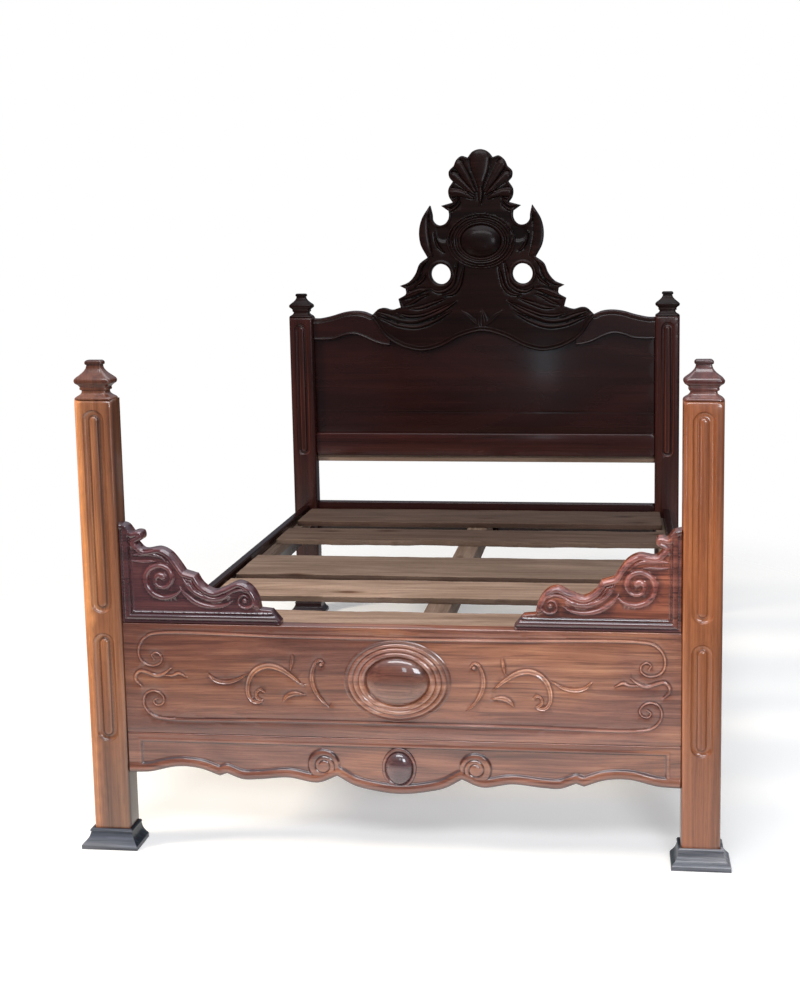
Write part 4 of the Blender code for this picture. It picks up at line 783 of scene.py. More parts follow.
# footboard: border lines that end in volutes, loose scrolls between them
footboard = dict(
    border=0.0036, relief=0.0036,
    topLine=((0.0, 0.592), (-0.300, 0.594), (-0.630, 0.597), (-0.668, 0.590), (-0.690, 0.570),
             (-0.697, 0.545), (-0.691, 0.522),
             (-0.674, 0.509), (-0.651, 0.508), (-0.636, 0.519), (-0.636, 0.535), (-0.650, 0.543),
             (-0.661, 0.536), (-0.656, 0.526)),
    lowLine=((0.0, 0.363), (-0.300, 0.363), (-0.632, 0.361), (-0.663, 0.368), (-0.682, 0.385),
             (-0.689, 0.406), (-0.683, 0.427),
             (-0.665, 0.437), (-0.644, 0.432), (-0.632, 0.416), (-0.638, 0.401), (-0.654, 0.398),
             (-0.661, 0.409), (-0.653, 0.416)),
    squiggle=((-0.694, 0.452, 0.002), (-0.706, 0.463, 0.003), (-0.708, 0.479, 0.0036),
              (-0.695, 0.491, 0.004), (-0.674, 0.487, 0.004),
              (-0.650, 0.479, 0.004), (-0.630, 0.485, 0.0035), (-0.609, 0.501, 0.0015)),
    twig=((-0.632, 0.482, 0.0015), (-0.606, 0.481, 0.003), (-0.590, 0.487, 0.0036),
          (-0.568, 0.477, 0.0014)),
    sweep=((-0.508, 0.487, 0.0018), (-0.492, 0.472, 0.0045), (-0.466, 0.465, 0.005),
           (-0.435, 0.471, 0.0042), (-0.404, 0.488, 0.0014)),
    bigC=((-0.359, 0.441, 0.003), (-0.367, 0.448, 0.0032), (-0.378, 0.441, 0.0034),
          (-0.379, 0.427, 0.0036), (-0.367, 0.417, 0.004),
          (-0.385, 0.413, 0.0044), (-0.399, 0.428, 0.0048), (-0.402, 0.454, 0.0056),
          (-0.393, 0.484, 0.0064), (-0.372, 0.505, 0.0070),
          (-0.343, 0.513, 0.0070), (-0.313, 0.506, 0.0066), (-0.283, 0.487, 0.0048),
          (-0.248, 0.457, 0.0010)),
    leaf=((-0.306, 0.417, 0.0015), (-0.297, 0.430, 0.0062), (-0.276, 0.439, 0.0066),
          (-0.246, 0.436, 0.0012)),
    stalk=((-0.278, 0.542, 0.0036), (-0.280, 0.526, 0.0046), (-0.285, 0.502, 0.0012)),
    smallC=((-0.196, 0.524, 0.0028), (-0.202, 0.531, 0.0030), (-0.213, 0.529, 0.0034),
            (-0.221, 0.517, 0.0044), (-0.228, 0.484, 0.0060),
            (-0.221, 0.452, 0.0056), (-0.203, 0.423, 0.0038), (-0.182, 0.403, 0.0010)),
    eye=((-0.203, 0.520), 0.0052))


def footStrokes():
    board = footboard
    half = []
    for key in ("topLine", "lowLine"):
        line = curveRun(board[key], 0.003)
        taper = np.clip(np.linspace(1.9, 0.55, len(line)), 0.55, 1.0)
        half.append((np.c_[line, board["border"] * taper], board["relief"], "bead"))
    for key in ("squiggle", "twig"):
        half.append((curveRun(board[key], 0.003), board["relief"], "bead"))
    for key in ("sweep", "bigC", "smallC"):
        half.append((curveRun(board[key], 0.003), board["relief"] * 1.3, "ribbon"))
    for key in ("leaf", "stalk"):
        half.append((curveRun(board[key], 0.003), board["relief"] * 1.2, "leaf"))
    centre, size = board["eye"]
    half.append((np.array([(*centre, size), (centre[0] + 0.0004, centre[1], size)]),
                 board["relief"] * 1.3, "bead"))
    return half + [(mirrored(line), relief, kind) for line, relief, kind in half]


low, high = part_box("footboard_panel")
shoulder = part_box("foot_post_right")[0][0] - seamGap  # the tenons stay out of sight
strokes = footStrokes()
loop = rectangle(-shoulder, shoulder, low[2], high[2], 0.004)


def footHeight(xz, edge):
    ridge, cut = carve(xz, strokes)
    height, shade = blendCarving(ridge, cut * 0.6)
    # painted shade: darker outlines in the cuts beside the strokes
    shade -= 0.5 * np.clip(-cut / 0.0012, 0, 1) * (ridge < 0.0006)
    # hand-planed surface
    waves = 0.00025 * np.sin(xz[:, 0] * 9.1 + 1.3) * np.sin(xz[:, 1] * 31 + xz[:, 0] * 2.3)
    waves *= softStep(edge, 0.004, 0.03)
    paintedHalfLight = 0.58 * softStep(xz[:, 0], -0.25, 0.25) - 0.48  # painted shade on the left half, painted sheen on the right half
    return height + waves, np.clip(shade + paintedHalfLight, -1, 1)


piece = carvedBoard("footboard", [loop], low[1], high[1], footHeight,
                    ease=0.003, fine=0.0022, coarse=9, tolerance=0.00007,
                    rows=followRows([s[0] for s in strokes], 0.0022))
settle(piece, frameBody, "red_wood", footWood, "footboard_panel")
print("footboard carved")


# domed ovals in rings
def ovalPiece(name, nodeName, profile, swirl, material, slot, domeShade, around=160):
    low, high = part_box(nodeName)
    cx, cz = (low[0] + high[0]) / 2, (low[2] + high[2]) / 2
    rx, rz, relief, back = (high[0] - low[0]) / 2, (high[2] - low[2]) / 2, high[1] - low[1], high[1]
    rows = profileRun(profile, 0.016)[1:]
    angle = np.linspace(0, 2 * np.pi, around, endpoint=False)
    verts = [(cx, back - profile[0][1] * relief, cz)]
    shade = [domeShade]
    faces = []
    domeEdge = [share for share, _, corner in profile if corner][1]
    for share, lift in rows:
        outer = np.clip((share - 0.6) / 0.4, 0, 1)
        wob = 1 - swirl * outer * (0.5 + 0.5 * np.sin(2 * angle + 0.9)) * (1 - share * 0.2)
        for k, a in enumerate(angle):
            y = back - max(lift * relief * wob[k], 0.0006)
            verts.append((cx + rx * share * math.cos(a), y, cz + rz * share * math.sin(a)))
            # raised rings painted lighter, a painted highlight (on the apron boss towards the apron's
            # own colour), low grooves painted darker, a painted shade
            ringShade = min(0.5, 4 * (lift - 0.16)) if lift > 0.16 else -0.6
            shade.append(domeShade if share < domeEdge - 0.01 else ringShade)
    for k in range(around):
        faces.append((0, 1 + k, 1 + (k + 1) % around))
    for r in range(len(rows) - 1):
        for k in range(around):
            a, b = 1 + r * around + k, 1 + r * around + (k + 1) % around
            faces.append((a, b, b + around, a + around))
    last = 1 + (len(rows) - 1) * around
    rim = len(verts)
    # the outer wall painted a little darker: painted shade
    for a in angle:
        verts.append((cx + rx * math.cos(a), back, cz + rz * math.sin(a)))
        shade.append(-0.3)
    faces += [(last + k, last + (k + 1) % around, rim + (k + 1) % around, rim + k)
              for k in range(around)]
    faces.append(tuple(rim + k for k in range(around)))
    piece = meshPiece(name, verts, faces, shade, 50)
    settle(piece, frameBody, slot, material, nodeName)


medallionProfile = ((0.0, 1.0, 1), (0.14, 0.975, 0), (0.28, 0.89, 0), (0.40, 0.73, 0), (0.50, 0.50, 0),
                    (0.56, 0.27, 0), (0.585, 0.10, 1),
                    (0.60, 0.16, 0), (0.625, 0.33, 0), (0.66, 0.40, 0), (0.695, 0.33, 0),
                    (0.715, 0.16, 1), (0.735, 0.24, 0),
                    (0.77, 0.32, 0), (0.80, 0.26, 0), (0.82, 0.11, 1), (0.84, 0.17, 0),
                    (0.875, 0.235, 0), (0.905, 0.17, 0),
                    (0.92, 0.08, 1), (0.945, 0.13, 0), (0.97, 0.15, 0), (1.0, 0.05, 1))
bossProfile = ((0.0, 1.0, 1), (0.18, 0.98, 0), (0.36, 0.91, 0), (0.52, 0.79, 0), (0.66, 0.60, 0),
               (0.755, 0.38, 0), (0.79, 0.13, 1),
               (0.82, 0.19, 0), (0.88, 0.25, 0), (0.95, 0.23, 0), (1.0, 0.12, 1))
crestBossProfile = ((0.0, 1.0, 1), (0.18, 0.975, 0), (0.36, 0.88, 0), (0.50, 0.73, 0), (0.61, 0.50, 0),
                    (0.68, 0.27, 0), (0.705, 0.12, 1),
                    (0.72, 0.18, 0), (0.75, 0.34, 0), (0.79, 0.34, 0), (0.82, 0.16, 1), (0.84, 0.26, 0),
                    (0.87, 0.28, 0), (0.90, 0.12, 1),
                    (0.92, 0.20, 0), (0.96, 0.24, 0), (1.0, 0.06, 1))
ovalPiece("footboard medallion", "footboard_medallion", medallionProfile, 0.5, medallionWood,
          "red_wood", -0.6)
ovalPiece("apron boss", "apron_boss", bossProfile, 0.0, bossWood, "red_wood", -0.1, 96)
ovalPiece("crest boss", "crest_boss", crestBossProfile, 0.3, crestWood, "dark_wood", -0.1)
print("ovals turned")

# apron: sunk field with a beaded frame, scalloped edge, two volutes
apron = dict(
    outline=((0.0, 1.0, 0), (0.075, 0.967, 0), (0.164, 0.868, 0), (0.226, 0.704, 1), (0.298, 0.836, 0),
             (0.406, 0.763, 0),
             (0.514, 0.809, 0), (0.575, 0.816, 0), (0.633, 0.716, 1), (0.660, 0.763, 1),
             (0.737, 0.638, 0), (0.819, 0.618, 0),
             (0.920, 0.724, 0), (1.0, 0.743, 1)),
    frame=0.024, endFrame=0.038, roll=0.0250, sink=0.0042, volute=(0.203, 0.243), voluteRadius=0.041,
    depth=0.152)
low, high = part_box("footboard_apron")
apronTop = high[2]
half = [(share * shoulder, apronTop - deep * apron["depth"], corner) for share, deep,
        corner in apron["outline"]]
left = [(-x, z, corner) for x, z, corner in reversed(half[1:])]
scallop = profileRun(left + half, 0.003)
apronLoop = closedLoop([(-shoulder, apronTop, 1)] + left + half + [(shoulder, apronTop, 1)], 0.003)
vx, vz = apron["volute"]
swirl = curveRun(spiral((vx, vz), 0.031, 0.0125, -160, -1.45, (0.0034, 0.0030), 0.8, 14), 0.002)


def apronHeight(xz, edge):
    toEdge = lineDistance(xz, scallop)[0]
    folded = np.c_[np.abs(xz[:, 0]), xz[:, 1]]
    fromVolute = np.hypot(folded[:, 0] - vx, folded[:, 1] - vz) - apron["voluteRadius"]
    square = np.minimum(apronTop - xz[:, 1] - apron["frame"],
                        shoulder - apron["endFrame"] - folded[:, 0])
    wall = np.minimum(np.minimum(toEdge - apron["roll"], square), fromVolute)
    bead = 0.0016 * np.clip(1 - ((square + 0.0055) / 0.0045) ** 2, 0,
                            1) * (fromVolute > 0) * (toEdge > apron["roll"])
    bead *= 0.3 + 0.7 * softStep(xz[:, 0], -0.15, 0.15)
    roll = 0.0042 * np.clip(1 - ((toEdge - 0.0125) / 0.0140) ** 2, 0, 1)
    disc = 0.0040 * np.sqrt(np.clip(1 - (1 + fromVolute / apron["voluteRadius"]) ** 2, 0, 1))
    score = np.exp(-(lineDistance(folded, swirl)[0] / 0.0022) ** 2) * (fromVolute < 0)
    sunk = apron["sink"] * softStep(wall, -0.001, 0.0035)
    height = np.maximum(np.maximum(roll, disc), bead) - sunk - 0.0024 * score
    # painted shade: a dark line along the sunk field's border and in the volutes' spiral groove
    shade = -0.10 - 0.95 * softGroove(wall, 0.0008, 0.0026) - 0.85 * score
    # painted shade along the scalloped lower edge, and a faint painted highlight along the frame's inner
    # edge
    shade -= 0.95 * (1 - softStep(toEdge, 0.0025,
                                  0.0115)) - 0.2 * np.exp(-((wall + 0.0045) / 0.0020) ** 2)
    return height, np.clip(shade, -1, 1)


rows = followRows([swirl, mirrored(swirl)], 0.0022)
rows += edgeRows(apronLoop, [0.0035 + 0.0018 * k for k in range(1, 20)])
piece = carvedBoard("apron", [apronLoop], low[1], high[1], apronHeight,
                    ease=0.0035, fine=0.0022, coarse=9, tolerance=0.00008, rows=rows)
settle(piece, frameBody, "red_wood", apronWood, "footboard_apron")
print("apron carved")

# brackets: moulded frame along post and footboard, rolled top edge, two volutes; the left one is flipped
bracket = dict(
    outline=((0.000, 0.000, 1), (0.430, 0.000, 1), (0.430, 0.010, 1), (0.406, 0.039, 1),
             (0.375, 0.042, 1), (0.369, 0.071, 0),
             (0.350, 0.101, 0), (0.319, 0.115, 0), (0.278, 0.098, 0), (0.250, 0.090, 0),
             (0.221, 0.106, 0), (0.204, 0.132, 1),
             (0.173, 0.141, 1), (0.157, 0.165, 0), (0.135, 0.191, 0), (0.1075, 0.204, 0),
             (0.0645, 0.200, 0), (0.046, 0.217, 1),
             (0.065, 0.229, 0), (0.063, 0.247, 0), (0.048, 0.250, 0), (0.036, 0.246, 1),
             (0.021, 0.265, 0), (0.000, 0.271, 1)),
    border=((0.0, 0.0040), (0.0070, 0.0040), (0.0085, 0.0014), (0.0100, 0.0030), (0.0135, 0.0068),
            (0.0180, 0.0080), (0.0225, 0.0068),
            (0.0255, 0.0030), (0.0268, 0.0006), (0.0285, 0.0028), (0.0305, 0.0034), (0.0330, 0.0022),
            (0.0345, 0.0), (1.0, 0.0)),
    bandLines=(((0.034, 0.184, 0.0020), (0.056, 0.186, 0.0056), (0.088, 0.186, 0.0062),
                (0.112, 0.180, 0.0050), (0.130, 0.166, 0.0014)),
               ((0.030, 0.171, 0.0018), (0.056, 0.168, 0.0046), (0.084, 0.169, 0.0046),
                (0.100, 0.168, 0.0018))),
    volute=((0.168, 0.094, 0.0016), (0.146, 0.077, 0.0060), (0.116, 0.070, 0.0080),
            (0.088, 0.080, 0.0086), (0.071, 0.104, 0.0086),
            (0.070, 0.130, 0.0082), (0.085, 0.150, 0.0080), (0.110, 0.157, 0.0080),
            (0.133, 0.147, 0.0078), (0.141, 0.124, 0.0074),
            (0.131, 0.104, 0.0068), (0.113, 0.098, 0.0062), (0.098, 0.106, 0.0062),
            (0.096, 0.122, 0.0072), (0.106, 0.131, 0.0095),
            (0.114, 0.127, 0.0115)),
    endVolute=(0.336, 0.066), balls=((0.0535, 0.2405, 0.0100), (0.336, 0.066, 0.0085)),
    waveTails=(((0.168, 0.132, 0.0016), (0.180, 0.106, 0.0058), (0.204, 0.083, 0.0068),
                (0.240, 0.069, 0.0068), (0.276, 0.072, 0.0060),
                (0.300, 0.088, 0.0050), (0.322, 0.094, 0.0046), (0.344, 0.090, 0.0044)),
               ((0.160, 0.100, 0.0016), (0.176, 0.080, 0.0066), (0.206, 0.057, 0.0076),
                (0.246, 0.047, 0.0068), (0.284, 0.053, 0.0048),
                (0.303, 0.064, 0.0016))))


def bracketStrokes(shape):
    ex, ez = shape["endVolute"]
    strokes = [(curveRun(line, 0.002), 0.0062, "bead")
               for line in shape["bandLines"] + shape["waveTails"]]
    strokes.append((curveRun(shape["volute"], 0.002), 0.0078, "bead"))
    strokes.append((curveRun(spiral((ex, ez), 0.026, 0.012, 95, -1.15, (0.0058, 0.0034), power=1.1),
                             0.002), 0.0070, "bead"))
    strokes += [(np.array([(x, z, r), (x + 0.0004, z, r)]), 0.0082, "bead") for x, z,
                r in shape["balls"]]
    return strokes


def makeBracket(side, material):
    name = f"foot_bracket_{side}"
    flip = -1 if side == "left" else 1  # across runs from the post towards the middle
    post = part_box("foot_post_right")[0][0] - seamGap
    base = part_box("footboard_panel")[1][2] + seamGap
    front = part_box("footboard_panel")[0][1] + 0.004
    shape = bracket
    local = closedLoop(shape["outline"], 0.0026)
    loop = np.c_[flip * (post - local[:, 0]), base + local[:, 1]]
    topEdge = np.array([p for p in local if p[1] > 0.0395 and p[0] > 0.0005 and p[0] < 0.3745])
    strokes = bracketStrokes(shape)
    steps, lifts = zip(*shape["border"])
    rows = followRows([s[0] for s in strokes], 0.0020)
    edgeMost = steps[-2]
    for ring in edgeRows(local, [0.0028 + 0.0017 * k for k in range(1, 18)]):
        rows.append(ring[(ring.min(1) > edgeMost + 0.001) & (lineDistance(ring, topEdge)[0] < 0.034)])
    for step in steps[1:-1]:
        run = np.arange(step, local.max(), 0.004)
        rows += [np.c_[run, np.full(len(run), step)], np.c_[np.full(len(run), step), run]]

    def heightAt(xz, edge):
        u = np.c_[post - flip * xz[:, 0], xz[:, 1] - base]
        inner = np.minimum(u[:, 0], u[:, 1])
        border = np.interp(inner, steps, lifts)
        toTop = lineDistance(u, topEdge)[0]
        roll = 0.0076 * roundRidge(toTop, 0.0080, 0.0080) * softStep(u[:, 1], 0.040, 0.052)
        groove = -0.0022 * softGroove(toTop, 0.0165, 0.0020) * softStep(u[:, 1], 0.045, 0.06)
        second = sum(0.0052 * roundRidge(toTop, spot, 0.0036) for spot in (0.0195, 0.0275))
        second *= softStep(u[:, 0], 0.162, 0.178) * (1 - softStep(u[:, 0], 0.285, 0.31))
        ridge, cut = carve(u, strokes)
        ridge = np.maximum.reduce([ridge, roll, second])
        plain = np.clip(1 - border / 0.001, 0, 1)
        cut = np.minimum(cut, groove)
        height, shade = blendCarving(ridge, cut)
        sunk = (height * 1.35 - 0.0030) * plain + border * (1 - plain)
        height = np.maximum(sunk, ridge * 1.1 * (u[:, 1] > 0.2))
        # painted shade in the creases of the moulded frame
        crease = -0.8 * softGroove(inner, 0.0088, 0.0012) - 0.8 * softGroove(inner, 0.0266, 0.0013)
        sill = np.where(u[:, 1] < u[:, 0], -0.85, -0.5)
        shade *= np.where(shade < 0, 0.6, 1.0)
        return height, np.clip(np.where(border > 0.0008, crease + sill, shade), -1, 1)

    piece = carvedBoard(f"foot bracket {side}", [loop], front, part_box(name)[1][1], heightAt,
                        ease=0.0028, fine=0.0020, coarse=9, tolerance=0.00009,
                        rows=[np.c_[flip * (post - row[:, 0]), base + row[:, 1]] for row in rows])
    settle(piece, frameBody, "red_wood", material, name)


makeBracket("left", shadedBracketWood)
makeBracket("right", litBracketWood)
print("brackets carved")

# crest: shell, horns, pierced leaf work and swags; right half drawn, left half flipped
crest = dict(
    outline=((0.000, 0.098, 0), (0.198, 0.071, 0), (0.378, 0.021, 0), (0.539, 0.000, 0),
             (0.691, 0.014, 0), (0.760, 0.030, 0),
             (0.840, 0.056, 0), (0.912, 0.094, 0), (0.958, 0.136, 0), (1.000, 0.164, 1),
             (1.000, 0.182, 1), (0.933, 0.215, 0), (0.887, 0.218, 0), (0.820, 0.209, 0),
             (0.735, 0.222, 1), (0.754, 0.264, 1), (0.685, 0.289, 0), (0.687, 0.314, 1),
             (0.739, 0.329, 1), (0.653, 0.350, 0),
             (0.595, 0.389, 0), (0.557, 0.438, 0), (0.484, 0.470, 1), (0.544, 0.535, 0),
             (0.556, 0.600, 0), (0.530, 0.661, 0),
             (0.457, 0.727, 1), (0.439, 0.684, 0), (0.433, 0.654, 0), (0.404, 0.635, 0),
             (0.361, 0.629, 0), (0.318, 0.638, 0),
             (0.290, 0.660, 0), (0.284, 0.682, 0), (0.288, 0.699, 1), (0.355, 0.725, 1),
             (0.250, 0.741, 1), (0.282, 0.770, 0), (0.286, 0.806, 0), (0.246, 0.843, 1),
             (0.276, 0.864, 0), (0.280, 0.893, 0),
             (0.236, 0.920, 1), (0.212, 0.949, 0), (0.165, 0.968, 0), (0.111, 0.960, 1),
             (0.066, 0.989, 0), (0.000, 1.000, 0)),
    piercing=(0.367, 0.387, 0.043), halfWidth=0.479,
    swags=(((0.108, 1.381, 0.0014), (0.157, 1.349, 0.0062), (0.219, 1.319, 0.0075),
            (0.290, 1.296, 0.0078), (0.350, 1.300, 0.0070),
            (0.404, 1.320, 0.0060), (0.458, 1.338, 0.0016)),
           ((0.151, 1.395, 0.0012), (0.219, 1.370, 0.0055), (0.272, 1.353, 0.0058),
            (0.318, 1.352, 0.0014)),
           ((0.133, 1.372, 0.0012), (0.194, 1.344, 0.0045), (0.256, 1.322, 0.0050),
            (0.312, 1.317, 0.0048), (0.367, 1.331, 0.0014)),
           ((0.130, 1.340, 0.0014), (0.207, 1.296, 0.0062), (0.284, 1.272, 0.0070),
            (0.361, 1.280, 0.0062), (0.423, 1.304, 0.0040),
            (0.462, 1.318, 0.0012))),
    leaves=(((0.232, 1.556, 0.0030), (0.264, 1.532, 0.0120), (0.283, 1.490, 0.0150),
             (0.314, 1.461, 0.0100), (0.349, 1.448, 0.0016)),
            ((0.222, 1.433, 0.0020), (0.262, 1.428, 0.0100), (0.298, 1.415, 0.0130),
             (0.330, 1.402, 0.0100), (0.356, 1.392, 0.0020)),
            ((0.090, 1.822, 0.0020), (0.108, 1.801, 0.0080), (0.134, 1.786, 0.0078),
             (0.166, 1.786, 0.0016))),
    shell=(((0.000, 1.984, 0.0430), (0.000, 1.935, 0.0360), (0.000, 1.870, 0.0130)),
           ((0.092, 1.958, 0.0200), (0.062, 1.910, 0.0170), (0.022, 1.845, 0.0060)),
           ((0.112, 1.910, 0.0190), (0.078, 1.880, 0.0150), (0.026, 1.834, 0.0050)),
           ((0.116, 1.842, 0.0200), (0.080, 1.838, 0.0150), (0.032, 1.816, 0.0050))),
    gouges=(((0.106, 1.944, 0.0020), (0.078, 1.902, 0.0034), (0.040, 1.858, 0.0016)),
            ((0.124, 1.900, 0.0020), (0.092, 1.878, 0.0034), (0.050, 1.850, 0.0016)),
            ((0.126, 1.850, 0.0020), (0.096, 1.850, 0.0030), (0.060, 1.836, 0.0014))),
    drop=((0.000, 1.876, 0.0020), (0.000, 1.846, 0.0110), (0.000, 1.818, 0.0090),
          (0.000, 1.790, 0.0020)),
    lines=(((0.100, 1.548, 0.0014), (0.112, 1.500, 0.0052), (0.122, 1.458, 0.0060),
            (0.150, 1.430, 0.0060), (0.192, 1.422, 0.0050),
            (0.224, 1.440, 0.0014)),
           ((0.074, 1.528, 0.0012), (0.084, 1.484, 0.0046), (0.096, 1.444, 0.0050),
            (0.122, 1.414, 0.0050), (0.170, 1.404, 0.0014)),
           ((0.225, 1.412, 0.0012), (0.266, 1.396, 0.0045), (0.300, 1.376, 0.0050),
            (0.338, 1.362, 0.0014)),
           ((0.152, 1.770, 0.0010), (0.126, 1.768, 0.0042), (0.104, 1.782, 0.0042),
            (0.086, 1.800, 0.0012)),
           ((0.200, 1.676, 0.0010), (0.196, 1.645, 0.0036), (0.182, 1.612, 0.0040),
            (0.158, 1.588, 0.0012)),
           ((0.236, 1.500, 0.0010), (0.256, 1.470, 0.0045), (0.290, 1.444, 0.0012))),
    horn=((0.217, 1.780, 0.0030), (0.243, 1.735, 0.0200), (0.251, 1.675, 0.0270),
          (0.239, 1.615, 0.0240), (0.214, 1.577, 0.0080)),
    pad=((0.062, 1.838, 0.0110), (0.086, 1.838, 0.0110)),
    centreLeaf=(((0.0, 1.256, 0.0020), (0.012, 1.284, 0.0130), (0.010, 1.316, 0.0120),
                 (0.002, 1.342, 0.0020)),
                ((0.006, 1.270, 0.0016), (0.036, 1.296, 0.0100), (0.064, 1.322, 0.0090),
                 (0.088, 1.340, 0.0016))),
    cheek=(0.160, 1.672, 0.046))
low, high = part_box("head_crest")
crestBottom = low[2]
crestTall = high[2] - crestBottom
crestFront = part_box("head_lower_rail")[0][1] - 0.004
half = [(share * crest["halfWidth"], crestBottom + up * crestTall, corner) for share, up,
        corner in crest["outline"]]
ring = half + [(-x, z, c) for x, z, c in reversed(half[1:-1])]
first = next(k for k, knot in enumerate(ring) if knot[2])
crestLoop = closedLoop(ring[first:] + ring[:first], 0.0032)
px, pz, pr = crest["piercing"]
around = np.linspace(0, 2 * np.pi, 120, endpoint=False)
holes = [np.c_[sign * px * crest["halfWidth"] + pr * np.cos(around),
               crestBottom + pz * crestTall + pr * np.sin(around)] for sign in (1, -1)]
lowerEdge = np.array([p for p in crestLoop if p[1] < crestBottom + 0.168 * crestTall
                      and abs(p[0]) < 0.4785])
lowerEdge = lowerEdge[np.argsort(lowerEdge[:, 0])]
half = [(curveRun(line, 0.003), 0.0062, "bead") for line in crest["swags"]]
half += [(curveRun(line, 0.003), 0.0058, "bead") for line in crest["lines"]]
half += [(curveRun(line, 0.003), 0.0090, "swell") for line in crest["shell"]]
half += [(curveRun(line, 0.003), 0.0024, "score") for line in crest["gouges"]]
half += [(curveRun(line, 0.003), 0.0085, "leaf") for line in crest["leaves"]]
half += [(curveRun(line, 0.003), 0.0023, "leaf") for line in crest["centreLeaf"]]
half += [(curveRun(crest[key], 0.003), 0.0090, "swell") for key in ("horn", "pad", "drop")]
crestStrokes = half + [(mirrored(line), relief, kind) for line, relief, kind in half]
bossLow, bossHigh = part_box("crest_boss")
bossCentre = ((bossLow[0] + bossHigh[0]) / 2, (bossLow[2] + bossHigh[2]) / 2)
bossRadii = ((bossHigh[0] - bossLow[0]) / 2, (bossHigh[2] - bossLow[2]) / 2)
crestReaches = [0.003 + 0.0018 * k for k in range(1, 14)]


def crestHeight(xz, edge):
    ridge, cut = carve(xz, crestStrokes)
    toRim = lineDistance(xz, lowerEdge)[0]
    rim = 0.0040 * roundRidge(toRim, 0.0052, 0.0040)
    second = 0.0030 * roundRidge(toRim, 0.0190, 0.0036)
    ovalShare = np.hypot((xz[:, 0] - bossCentre[0]) / bossRadii[0],
                         (xz[:, 1] - bossCentre[1]) / bossRadii[1])
    halo = sum(0.0045 * roundRidge(ovalShare, spot, 0.035) for spot in (1.06, 1.17))
    toHole = np.min([np.hypot(xz[:, 0] - hole[:, 0].mean(), xz[:, 1] - hole[:, 1].mean())
                     for hole in holes], axis=0) - pr
    collar = 0.0048 * roundRidge(toHole, 0.0085, 0.0075)
    ridge = np.maximum.reduce([ridge, rim, second, halo, collar])
    cx, cz, cr = crest["cheek"]
    cheek = -0.0042 * (1 - softStep(np.hypot(np.abs(xz[:, 0]) - cx, xz[:, 1] - cz), cr * 0.55, cr))
    upper = softStep(xz[:, 1], 1.330, 1.40)
    edging = 0.0035 * roundRidge(edge, 0.0060, 0.0055) * upper
    height, shade = blendCarving(np.maximum(ridge, edging), cut)
    # painted shade in the hollow cheeks
    return height + cheek * (ridge < 0.001), np.clip(shade + cheek * 80, -1, 1)


rows = followRows([s[0] for s in crestStrokes], 0.0024) + edgeRows(crestLoop, crestReaches)
for hole in holes:
    rows += edgeRows(hole, crestReaches, -1)
piece = carvedBoard("head crest", [crestLoop] + holes, crestFront, high[1] - 0.0002, crestHeight,
                    ease=0.0030, fine=0.0024, coarse=8, tolerance=0.00010, rows=rows)
settle(piece, frameBody, "dark_wood", crestWood, "head_crest")
print("crest carved")

# wavy top rails beside the crest
topRail = dict(outline=((-0.30, -0.110, 1), (-0.17, -0.075, 0), (-0.02, 0.010, 0), (0.11, 0.130, 0),
                        (0.31, 0.255, 0), (0.47, 0.215, 0), (0.64, 0.105, 0), (0.80, 0.080, 0),
                        (1.00, 0.080, 1), (1.00, 0.765, 1), (0.90, 0.765, 0), (0.70, 0.840, 0),
                        (0.465, 0.965, 0), (0.29, 1.000, 0),
                        (0.13, 0.965, 0), (0.00, 0.862, 1), (-0.30, 0.350, 1)), roll=0.0034)
for side in ("left", "right"):
    low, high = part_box(f"head_top_rail_{side}")
    flip = -1 if side == "left" else 1
    inner = crest["halfWidth"] + seamGap
    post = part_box("head_post_right")[0][0] - seamGap
    local = closedLoop([(inner + a * (post - inner), low[2] + b * (high[2] - low[2]), c) for a, b,
                        c in topRail["outline"]], 0.003)
    tall = high[2] - low[2]
    onTop = (local[:, 0] > inner + 0.002) & (local[:, 1] > low[2] + 0.6 * tall)
    onFoot = (local[:, 0] > local[:, 0].min() + 0.002) & (local[:, 1] < low[2] + 0.3 * tall)
    edges = [local[mask & (local[:, 0] < post - 0.002)] for mask in (onTop, onFoot)]

    def railHeight(xz, edge, flip=flip, edges=edges):
        spots = np.c_[xz[:, 0] * flip, xz[:, 1]]
        fromTop, fromFoot = (lineDistance(spots, line)[0] for line in edges)
        roll = topRail["roll"] * roundRidge(fromTop, 0.0075, 0.0072)
        foot = 0.0024 * roundRidge(fromFoot, 0.0040, 0.0034)
        line = -0.0016 * (softGroove(fromTop, 0.0185, 0.0014) + softGroove(fromFoot, 0.0095, 0.0014))
        # painted shade in the groove lines, painted light on the rolled top edge
        return np.maximum(roll, foot) + line, np.clip(line / 0.0016, -1, 0) + 0.4 * (roll > 0.002)

    loop = np.c_[local[:, 0] * flip, local[:, 1]]
    piece = carvedBoard(f"head top rail {side}", [loop], low[1], high[1] - 0.0004, railHeight,
                        ease=0.0030, fine=0.0026, coarse=9, tolerance=0.00009,
                        rows=edgeRows(loop, crestReaches))
    settle(piece, frameBody, "dark_wood", darkWood, f"head_top_rail_{side}")
print("top rails carved")


# flat boards of the head end and the frame
def grooveSeams(levels, depth=0.0009):
    def heightAt(xz, edge):
        height = np.zeros(len(xz))
        for level in levels:
            wander = 0.0012 * np.sin(xz[:, 0] * 5.3 + level * 40)
            height -= depth * np.exp(-((xz[:, 1] - level - wander) / 0.0014) ** 2)
        return height, np.clip(height / depth, -1, 0)
    return heightAt


